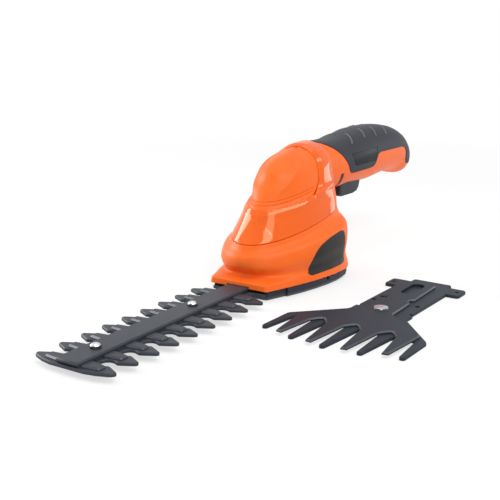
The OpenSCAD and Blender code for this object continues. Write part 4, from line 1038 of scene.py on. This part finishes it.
# Shrubber blade: outlines in shares of the pitch and of the half width; grinds are width and depth
toothRow = rowTree()
bladeSet = {"pitch": 17.0, "teeth": 9, "tipX": -195.034, "frontX": -201.534, "gullet": 0.247,
            "gulletY": 14.248, "gulletSteps": 16, "rootX": -40.035, "rootLength": 6.3, "rootHalf": 20.0,
            "rootChamfer": 1.5, "tailX": 19.9, "tailHalf": 14.0, "combHalf": 27.4, "combZ": (3.4, 5.2),
            "combGrind": (0.55, 0.5), "rootGrind": (0.4, 0.4), "tailGrind": (0.2, 0.2)}
pitch, tipX, rootX = bladeSet["pitch"], bladeSet["tipX"], bladeSet["rootX"]
combHalf, combZ, combGrind = bladeSet["combHalf"], bladeSet["combZ"], bladeSet["combGrind"]
lastX = tipX + pitch * (bladeSet["teeth"] - 1)
rowValues = {"Count": bladeSet["teeth"] - 1, "Pitch": pitch * mm, "First": (tipX + pitch) * mm,
             "Finish": coatedSteel}
gullet = []
for i in range(bladeSet["gulletSteps"] + 1):
    a = math.pi * i / bladeSet["gulletSteps"]
    gullet.append((pitch * (0.5 - bladeSet["gullet"] * math.cos(a)),
                   bladeSet["gulletY"] - pitch * bladeSet["gullet"] * math.sin(a)))
gulletMid = bladeSet["gulletSteps"] // 2
combFlank = [(0.050, 0.992), (0.090, 0.970), (0.290, 0.730), (0.322, 0.690), (0.325, 0.665), (0.262, 0.565)]
combFlank = [(pitch * x, combHalf * y) for x, y in combFlank]
combRear = [(0.0, combHalf)] + combFlank
combCell = [(x - pitch, y) for x, y in gullet[gulletMid:]]
combCell += [(-x, y) for x, y in reversed(combFlank)] + combRear + gullet[:gulletMid + 1]
combTooth = addMesh("combTooth", *toothCell(combCell[::-1], 0.0, *combZ, *combGrind))
front = [(-0.382, 0.000), (-0.382, 0.400), (-0.376, 0.445), (-0.300, 0.680), (-0.165, 0.905), (-0.120, 0.955)]
front = [(tipX + pitch * x, combHalf * y) for x, y in front]
front += [(tipX + x, y) for x, y in [(-combFlank[0][0], combFlank[0][1])] + combRear + gullet[:gulletMid + 1]]
chamferX = rootX - bladeSet["rootLength"]
root = [(lastX + x, y) for x, y in gullet[gulletMid:]]
root += [(chamferX, bladeSet["rootHalf"] - bladeSet["rootChamfer"]),
         (chamferX + bladeSet["rootChamfer"], bladeSet["rootHalf"]), (rootX, bladeSet["rootHalf"])]
tail = [(rootX, bladeSet["tailHalf"]), (bladeSet["tailX"], bladeSet["tailHalf"])]
shrubComb = addMesh("shrubberComb", *joined(
    toothCell(front[::-1], 0.0, *combZ, *combGrind),
    toothCell(root[::-1], 0.0, *combZ, *bladeSet["rootGrind"]),
    toothCell(tail[::-1], 0.0, *combZ, *bladeSet["tailGrind"])))
runTree(shrubComb, toothRow, Tooth=combTooth, **rowValues)
bpy.data.objects.remove(combTooth)
settle(shrubComb, "body", coatedSteel, ["shrubber_comb"], angle=20)

cutterSet = {"half": 18.8, "z": (5.25, 6.65), "grind": (0.9, 1.0), "bridgeGrind": (0.05, 0.05),
             "frontX": -200.034, "spine": 7.5, "slotHalf": 3.15, "slots": [(-188.3, -170.8), (-103.4, -85.8)],
             "neckX": -30.0, "neckHalf": 12.0, "yokeX": -25.835, "yokeEnd": 9.765, "yokeWall": 3.5,
             "yokeHalf": 12.8, "windowHalf": 9.3}
slotHalf, yokeEnd = cutterSet["slotHalf"], cutterSet["yokeEnd"]
cutterCell = [(-0.500, 0.399), (-0.262, 0.399), (-0.245, 0.430), (-0.180, 0.940), (-0.165, 0.975),
              (-0.130, 1.000)]
cutterCell += [(-x, y) for x, y in reversed(cutterCell)]
cutterCell = [(pitch * x, cutterSet["half"] * y) for x, y in cutterCell]
cutterTooth = toothCell(cutterCell[::-1], slotHalf, *cutterSet["z"], *cutterSet["grind"])
cutterTooth = addMesh("cutterTooth", *cutterTooth)


def bridge(x0, x1, half, inner=0.0):
    # a straight stretch of one side of the cutter
    return toothCell([(x1, half), (x0, half)], inner, *cutterSet["z"], *cutterSet["bridgeGrind"])


firstTooth = [(cutterSet["frontX"], cutterSet["spine"])] + [(tipX + x, y) for x, y in cutterCell[1:]]
(slotA, slotB), (slotC, slotD) = cutterSet["slots"]
teethEnd = lastX + pitch / 2
shrubCutter = addMesh("shrubberCutter", *joined(
    toothCell(firstTooth[::-1], slotHalf, *cutterSet["z"], *cutterSet["grind"]),
    bridge(cutterSet["frontX"], slotA, slotHalf),
    bridge(slotB, slotC, slotHalf),
    bridge(slotD, teethEnd, slotHalf),
    bridge(teethEnd, cutterSet["neckX"], cutterSet["spine"]),
    bridge(cutterSet["neckX"], cutterSet["yokeX"], cutterSet["neckHalf"]),
    bridge(cutterSet["yokeX"], yokeEnd, cutterSet["yokeHalf"], cutterSet["windowHalf"]),
    bridge(yokeEnd - cutterSet["yokeWall"], yokeEnd, cutterSet["windowHalf"])))
runTree(shrubCutter, toothRow, Tooth=cutterTooth, **rowValues)
bpy.data.objects.remove(cutterTooth)
settle(shrubCutter, "cutter", coatedSteel, ["shrubber_cutter"], angle=20)
groundEdge(shrubCutter)

barSet = {"z": (6.7, 8.3), "half": 8.2, "rearX": -38.035, "grind": (0.9, 0.7),
          "nose": [(0.0, 6.2), (0.6, 7.6), (2.0, 8.2)]}
barHalf = [(bladeSet["frontX"] + x, y) for x, y in barSet["nose"]] + [(barSet["rearX"], barSet["half"])]
barLine = barHalf + [(x, -y) for x, y in reversed(barHalf)]
bar = addMesh("bladeBar", *ground(barLine, *barSet["z"], *barSet["grind"]))
settle(bar, "body", coatedSteel, ["blade_bar"], angle=20)
print("stage: shrubber blade")


def turned(name, profile, sides=48):
    # a piece turned on a lathe about the z axis
    turns = [2 * math.pi * i / sides for i in range(sides)]
    rings = [[(r * math.cos(a), r * math.sin(a), z) for a in turns] for r, z in profile]
    return addMesh(name, *closedForm(rings))


def domeLine(radius, foot, rise, steps=10):
    # the round of a dome, without its foot and crown
    turns = [math.pi / 2 * i / steps for i in range(1, steps)]
    return [(radius * math.cos(a), foot + rise * math.sin(a)) for a in turns]


# Screws that hold the bar, bright chrome above; below a set height their faces take dark steel, a painted
# shade and painted dark reflection
headSet = {"radius": 3.2, "height": 2.6, "top": 8.3, "bright": 1.45, "shank": 1.75, "depth": 4.9,
           "chamfer": 0.15, "edge": 0.45, "waist": 0.985, "crown": 0.12, "places": (-179.534, -94.534)}
headRadius = headSet["radius"]
screwLine = [(headSet["shank"], -headSet["depth"]), (headSet["shank"], 0.0),
             (headRadius - headSet["chamfer"], 0.0), (headRadius, headSet["chamfer"]),
             (headRadius, headSet["edge"])]
screwLine += domeLine(headRadius * headSet["waist"], headSet["edge"], headSet["height"] - headSet["edge"])
screwHead = turned("screwHead", screwLine + [(headSet["crown"], headSet["height"])])
barScrews = addMesh("barScrews", [(x, 0.0, headSet["top"]) for x in headSet["places"]])
runTree(barScrews, placedTree(), Piece=screwHead, Finish=brightSteel)
bpy.data.objects.remove(screwHead)
settle(barScrews, "body", brightSteel, ["bar_screws"], angle=40)
# painted shade: the faces low on each head take the dark steel, as a painted dark reflection
barScrews.data.materials.append(paintedShadeSteel)
for f in barScrews.data.polygons:
    if f.center.z < (headSet["top"] + headSet["bright"]) * mm:
        f.material_index = 1

# Loose shear blade, drawn about a point on its centre line with its tines towards -X
shearSet = {"place": (-12.735, -92.6), "turn": -2.2, "pivotX": -13.6, "swing": 2.3, "pitch": 22.0,
            "reach": 85.0, "through": (-5, 20), "combZ": (0.0, 2.0), "combGrind": (0.45, 0.45),
            "combBore": 3.25, "combTip": 1.75, "combTips": (0.894, 0.970, 1.000, 0.970, 0.894),
            "combFlank": [(-48.0, 7.2), (-48.9, 5.4), (-52.0, 4.1)], "holeSides": 24,
            "holes": [(14.5, 13.4, 1.6), (6.5, 15.2, 1.6), (7.5, -14.4, 1.6), (49.8, -22.6, 1.3),
                      (49.8, 22.6, 1.3)],
            "cutterZ": (2.05, 3.65), "cutterGrind": (0.7, 0.9), "cutterBore": 3.24, "cutterTip": 1.85,
            "cutterLean": 0.6, "cutterTips": (0.94, 1.00, 1.00, 0.94),
            "cutterFlank": [(-46.6, 10.9), (-48.2, 8.9), (-53.0, 5.6)], "slotEnds": (43.5, 27.5),
            "slotRadius": 4.5, "slotSteps": 12}
toolLow, toolHigh = shearSet["through"]


def shearPlace(obj, swing=0.0):
    pivot = Matrix.Translation((shearSet["pivotX"] * mm, 0, 0))
    move = Matrix.Translation((shearSet["place"][0] * mm, shearSet["place"][1] * mm, 0))
    turn = Matrix.Rotation(math.radians(shearSet["turn"]), 4, "Z")
    obj.data.transform(move @ turn @ pivot @ Matrix.Rotation(math.radians(swing), 4, "Z") @ pivot.inverted())


def arc(cx, cy, r, a0, a1, steps):
    turns = [math.radians(a0 + (a1 - a0) * i / steps) for i in range(steps + 1)]
    return [(cx + r * math.cos(t), cy + r * math.sin(t)) for t in turns]


def tined(half, tips, flank, tipLine):
    # a blade's outline: half of its rear, a row of tines, and the rear mirrored
    outline = list(half)
    for j, share in enumerate(tips):
        y = (j - (len(tips) - 1) / 2) * shearSet["pitch"]
        if j > 0:
            outline += [(x, y - d) for x, d in flank]
        outline += tipLine(-shearSet["reach"] * share, y)
        if j < len(tips) - 1:
            outline += [(x, y + d) for x, d in reversed(flank)]
    return outline + [(x, -y) for x, y in reversed(half)]


def bored(obj, x, y, radius, sides=40):
    carve(obj, rod("bore", (x, y, toolLow), (0, 0, 1), radius, toolHigh, sides))


def combTip(x, y):
    return arc(x + shearSet["combTip"], y, shearSet["combTip"], -90, -270, 8)


def cutterTip(x, y):
    tip, most = shearSet["cutterTip"], shearSet["cutterLean"]
    lean = most if y < 0 else 0.0
    return [(x + lean, y - tip), (x + most - lean, y + tip)]


half = [(63, -12.4), (61.8, -13.6), (57, -13.6), (57, -23.9)] + arc(54.5, -23.9, 2.5, 0, -90, 5)[1:]
half += arc(45, -23.9, 2.5, -90, -180, 5)
half += [(42.5, -18.1), (-7.0, -18.1), (-7.3, -16.9), (-9.6, -16.9), (-9.9, -19.3), (-17.5, -19.3),
         (-19.6, -20.2), (-46.2, -44.8), (-48.0, -45.7)]
outline = tined(half, shearSet["combTips"], shearSet["combFlank"], combTip)
shearComb = addMesh("shearComb", *ground(outline, *shearSet["combZ"], *shearSet["combGrind"]))
bored(shearComb, shearSet["pivotX"], 0, shearSet["combBore"])
for x, y, radius in shearSet["holes"]:
    bored(shearComb, x, y, radius, shearSet["holeSides"])
shearPlace(shearComb)
settle(shearComb, "shear", darkSteel, ["shear_comb"], angle=20)

half = [(53, -6.0)] + arc(49, -6, 4, 0, -90, 6)
half += [(14.5, -10), (13.5, -7.8), (8.5, -7.8), (7.5, -10), (-17.2, -10), (-20.2, -11.4), (-43.2, -37.4),
         (-45.4, -38.5)]
outline = tined(half, shearSet["cutterTips"], shearSet["cutterFlank"], cutterTip)
shearCutter = addMesh("shearCutter", *ground(outline, *shearSet["cutterZ"], *shearSet["cutterGrind"]))
bored(shearCutter, shearSet["pivotX"], 0, shearSet["cutterBore"])
slot = []
for x, turn in zip(shearSet["slotEnds"], (-90, 90)):
    slot += arc(x, 0, shearSet["slotRadius"], turn, turn + 180, shearSet["slotSteps"])
carve(shearCutter, addMesh("slot", *closedForm([[(x, y, z) for x, y in slot] for z in shearSet["through"]])))
shearPlace(shearCutter, shearSet["swing"])
settle(shearCutter, "shear_blade", darkSteel, ["shear_cutter"], angle=20)
groundEdge(shearCutter)

pivotSet = {"radius": 4.9, "top": 3.7, "rim": 0.68, "dome": 0.97, "waist": 0.99, "crown": 0.15,
            "height": 1.67, "shank": 3.2, "shankRise": 0.4, "flats": 6, "flatsFrom": -1, "flatsLength": 20}
pivotTop, pivotRadius = pivotSet["top"], pivotSet["radius"]
rivet = [(pivotRadius, pivotTop), (pivotRadius, pivotTop + pivotSet["rim"])]
rivet += domeLine(pivotRadius * pivotSet["waist"], pivotTop + pivotSet["rim"], pivotSet["dome"])
shearPivot = turned("shearPivot", rivet + [(pivotSet["crown"], pivotTop + pivotSet["height"])])
flats = rod("flats", (0, 0, pivotSet["flatsFrom"]), (0, 0, 1), pivotRadius, pivotSet["flatsLength"],
            pivotSet["flats"])
carve(shearPivot, flats, "INTERSECT")
shank = rod("shank", (0, 0, 0), (0, 0, 1), pivotSet["shank"], pivotTop + pivotSet["shankRise"])
carve(shearPivot, shank, "UNION")
shearPivot.data.transform(Matrix.Translation((shearSet["pivotX"] * mm, 0, 0)))
shearPlace(shearPivot)
settle(shearPivot, "shear", plainSteel, ["shear_pivot"], angle=30)
print("stage: shear blade")

# Ribs across the grip: place along the handle and turn in degrees, at each end
sweptBeads = sweepTree()
ribSet = {"radius": 0.75, "sink": 0.25, "steps": 14, "bow": 1.3,
          "ends": [(0.307, 98, 0.242, 137), (0.432, 100, 0.377, 134), (0.532, 104, 0.487, 140),
                   (0.640, 108, 0.599, 142)]}
points, edges = [], []
for s0, t0, s1, t1 in ribSet["ends"]:
    for side in (1, -1):
        for i in range(ribSet["steps"] + 1):
            f = i / ribSet["steps"]
            turn = math.radians(t0 + (t1 - t0) * f)
            p = handlePoint(s0 + (s1 - s0) * f ** ribSet["bow"], turn, gripSet["grow"] - ribSet["sink"])
            points.append((p[0], side * p[1], p[2]))
            if i:
                edges.append((len(points) - 2, len(points) - 1))
gripRibs = addMesh("gripRibs", points, edges=edges)
# the ribs take the lighter rubber, a painted highlight
runTree(gripRibs, sweptBeads, Radius=ribSet["radius"] * mm, Finish=ribHighlightRubber)
settle(gripRibs, "body", ribHighlightRubber)

# Springs wound from wire
springSet = {"wire": 0.6, "coilSteps": 20, "springs": [
    {"name": "latchSpring", "node": "latch_spring", "foot": (44.68, 0, 6.88), "top": (49.44, 0, 6.88),
     "width": 4.4, "turns": 4, "joint": "latch_slide", "keep": 0.15},
    {"name": "triggerSpring", "node": "trigger_spring", "foot": (104.456, 0, 56.46),
     "top": (104.456, 0, 65.48), "width": 6.0, "turns": 6, "joint": "trigger_squeeze", "keep": 0.55}]}
for one in springSet["springs"]:
    foot, top = Vector(one["foot"]), Vector(one["top"])
    axis, across = (top - foot).normalized(), Vector((0, 1, 0))
    third = axis.cross(across)
    inset, count = springSet["wire"] / 2, one["turns"] * springSet["coilSteps"]
    rise = (top - foot).length - 2 * inset
    coil = []
    for i in range(count + 1):
        turn = 2 * math.pi * one["turns"] * i / count
        spot = across * math.cos(turn) + third * math.sin(turn)
        coil.append(foot + axis * (inset + rise * i / count) + spot * (one["width"] / 2 - inset))
    spring = addMesh(one["name"], coil, edges=[(i, i + 1) for i in range(count)])
    runTree(spring, sweptBeads, Radius=inset * mm, Finish=plainSteel)
    settle(spring, "body", plainSteel, [one["node"]])
    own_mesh(spring)
print("stage: ribs and springs")

# Finishes for the pieces inside and for the small CAD pieces that show
finishes = {
    darkPlastic: ["lock_button", "switch_body", "charge_socket", "base_latch", "motor_endbell"],
    plainSteel: ["trigger_pin", "cell_contacts", "motor_can", "motor_shaft", "motor_screws", "drive_gear",
                 "crank_shaft", "crank_pin", "shaft_circlip", "housing_screws", "bar_nuts", "bar_spacers"],
    bronzeMetal: ["pinion", "crank_roller", "crank_bushes"], windingCopper: ["motor_armature"],
    paleNylon: ["cell_cradle", "gearbox_frame"], greenBoard: ["circuit_board"], blueSleeve: ["battery_cells"]}
for material, names in finishes.items():
    for name in names:
        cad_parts[name].data.materials.clear()
        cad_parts[name].data.materials.append(material)
print("stage: inside finishes")

# Floor, light and camera
stageSet = {"ambient": 0.38, "shadowNear": 0.30, "shadowFar": 0.80, "shadow": 0.36, "floorRadius": 9000,
            "floorZ": -0.3, "floorTone": 0.90, "floorRough": 0.8, "floorShine": 0.1}


def seenNode(tree):
    # 1 for rays from the camera, from a reflection or through glass
    path = tree.nodes.new("ShaderNodeLightPath")
    first, both = tree.nodes.new("ShaderNodeMath"), tree.nodes.new("ShaderNodeMath")
    first.operation = both.operation = "ADD"
    both.use_clamp = True
    tree.links.new(path.outputs["Is Camera Ray"], first.inputs[0])
    tree.links.new(path.outputs["Is Glossy Ray"], first.inputs[1])
    tree.links.new(first.outputs[0], both.inputs[0])
    tree.links.new(path.outputs["Is Transmission Ray"], both.inputs[1])
    return both.outputs[0]


# white where it is seen, plain light where it falls on the object
world = bpy.data.worlds.new("studio")
scene.world = world
world.use_nodes = True
tree = world.node_tree
backdrop = tree.nodes["Background"]
level = tree.nodes.new("ShaderNodeMapRange")
level.inputs["To Min"].default_value = stageSet["ambient"]
level.inputs["To Max"].default_value = 1.0
tree.links.new(seenNode(tree), level.inputs["Value"])
tree.links.new(level.outputs["Result"], backdrop.inputs["Strength"])
backdrop.inputs["Color"].default_value = (1, 1, 1, 1)

bm = bmesh.new()
bmesh.ops.create_circle(bm, cap_ends=True, segments=96, radius=stageSet["floorRadius"])
bmesh.ops.translate(bm, vec=(0, 0, stageSet["floorZ"]), verts=bm.verts)
floor = fromBmesh("floor", bm)
floorWhite = bpy.data.materials.new("floorWhite")
floorWhite.use_nodes = True
tree = floorWhite.node_tree
matte = tree.nodes["Principled BSDF"]
matte.inputs["Base Color"].default_value = (*[stageSet["floorTone"]] * 3, 1)
matte.inputs["Roughness"].default_value = stageSet["floorRough"]
matte.inputs["Specular IOR Level"].default_value = stageSet["floorShine"]
glow = tree.nodes.new("ShaderNodeEmission")
where = tree.nodes.new("ShaderNodeTexCoord")
away = tree.nodes.new("ShaderNodeVectorMath")
away.operation = "LENGTH"
tree.links.new(where.outputs["Object"], away.inputs[0])
fade = tree.nodes.new("ShaderNodeMapRange")
fade.inputs["From Min"].default_value = stageSet["shadowNear"]
fade.inputs["From Max"].default_value = stageSet["shadowFar"]
fade.inputs["To Min"].default_value = 1 - stageSet["shadow"]
tree.links.new(away.outputs["Value"], fade.inputs["Value"])
share = tree.nodes.new("ShaderNodeMath")
share.operation = "MULTIPLY"
tree.links.new(fade.outputs["Result"], share.inputs[0])
tree.links.new(seenNode(tree), share.inputs[1])
mix = tree.nodes.new("ShaderNodeMixShader")
tree.links.new(share.outputs[0], mix.inputs["Fac"])
tree.links.new(matte.outputs[0], mix.inputs[1])
tree.links.new(glow.outputs[0], mix.inputs[2])
under = tree.nodes.new("ShaderNodeNewGeometry")
seeThrough = tree.nodes.new("ShaderNodeBsdfTransparent")
oneSided = tree.nodes.new("ShaderNodeMixShader")  # clear from below, so that the sole can be looked at
tree.links.new(under.outputs["Backfacing"], oneSided.inputs["Fac"])
tree.links.new(mix.outputs[0], oneSided.inputs[1])
tree.links.new(seeThrough.outputs[0], oneSided.inputs[2])
tree.links.new(oneSided.outputs[0], tree.nodes["Material Output"].inputs["Surface"])
floor.data.materials.append(floorWhite)


def softbox(name, ends, aim, height, glow):
    # a lamp between two ends, turned to its aim, whose face has the given brightness
    one, other = Vector(ends[0]), Vector(ends[1])
    along, place = (other - one).normalized(), (one + other) / 2
    out = place - Vector(aim)
    out = (out - along * out.dot(along)).normalized()
    lamp = bpy.data.lights.new(name, "AREA")
    lamp.shape = "RECTANGLE"
    lamp.size, lamp.size_y = (other - one).length, height
    lamp.energy = glow * math.pi * lamp.size * height
    made = bpy.data.objects.new(name, lamp)
    made.location = place
    made.rotation_mode = "QUATERNION"
    made.rotation_quaternion = Matrix((along, out.cross(along), out)).transposed().to_quaternion()
    scene.collection.objects.link(made)


lampSet = {
    "stripLight": {"ends": ((-0.66, 0.96, 0.42), (0.14, 1.04, 0.42)), "aim": (-0.03, 0, 0.05), "height": 0.54,
                   "glow": 7.5},
    "keyLight": {"ends": ((-0.76, -0.54, 0.80), (-0.44, -0.82, 0.80)), "aim": (-0.03, 0, 0.05),
                 "height": 0.64, "glow": 4.0},
    "frontLight": {"ends": ((-1.28, -0.12, 0.22), (-0.62, -1.12, 0.22)), "aim": (-0.06, 0, 0.04),
                   "height": 0.50, "glow": 0.7},
    "rimLight": {"ends": ((-0.60, -0.32, 1.02), (0.60, -0.89, 0.68)), "aim": (0, 0, 0.05), "height": 0.22,
                 "glow": 6.0},
    "edgeLight": {"ends": ((0.90, -0.60, 0.08), (1.04, -0.34, 0.08)), "aim": (0.02, 0, 0.06), "height": 0.26,
                  "glow": 3.0},
    "topLight": {"ends": ((-0.45, 0.12, 1.20), (0.45, 0.12, 1.20)), "aim": (0, 0, 0.04), "height": 0.70,
                 "glow": 1.3}}
for name, lamp in lampSet.items():
    softbox(name, **lamp)

camSet = {"place": (-0.5056, -0.30913, 0.17547), "azimuth": -56.91, "elevation": 14.53, "lens": 64.55,
          "sensor": 36.0, "clip": (0.01, 50)}
camData = bpy.data.cameras.new("photoCamera")
camData.lens = camSet["lens"]
camData.sensor_width = camSet["sensor"]
camData.clip_start, camData.clip_end = camSet["clip"]
photoCamera = bpy.data.objects.new("photoCamera", camData)
a, e = math.radians(camSet["azimuth"]), math.radians(camSet["elevation"])
photoCamera.location = camSet["place"]
photoCamera.rotation_mode = "QUATERNION"
back = Vector((math.sin(a) * math.cos(e), -math.cos(a) * math.cos(e), math.sin(e)))
photoCamera.rotation_quaternion = (-back).to_track_quat("-Z", "Y")
scene.collection.objects.link(photoCamera)
scene.camera = photoCamera
scene.view_settings.view_transform = "Standard"
print("stage: floor, light and camera")
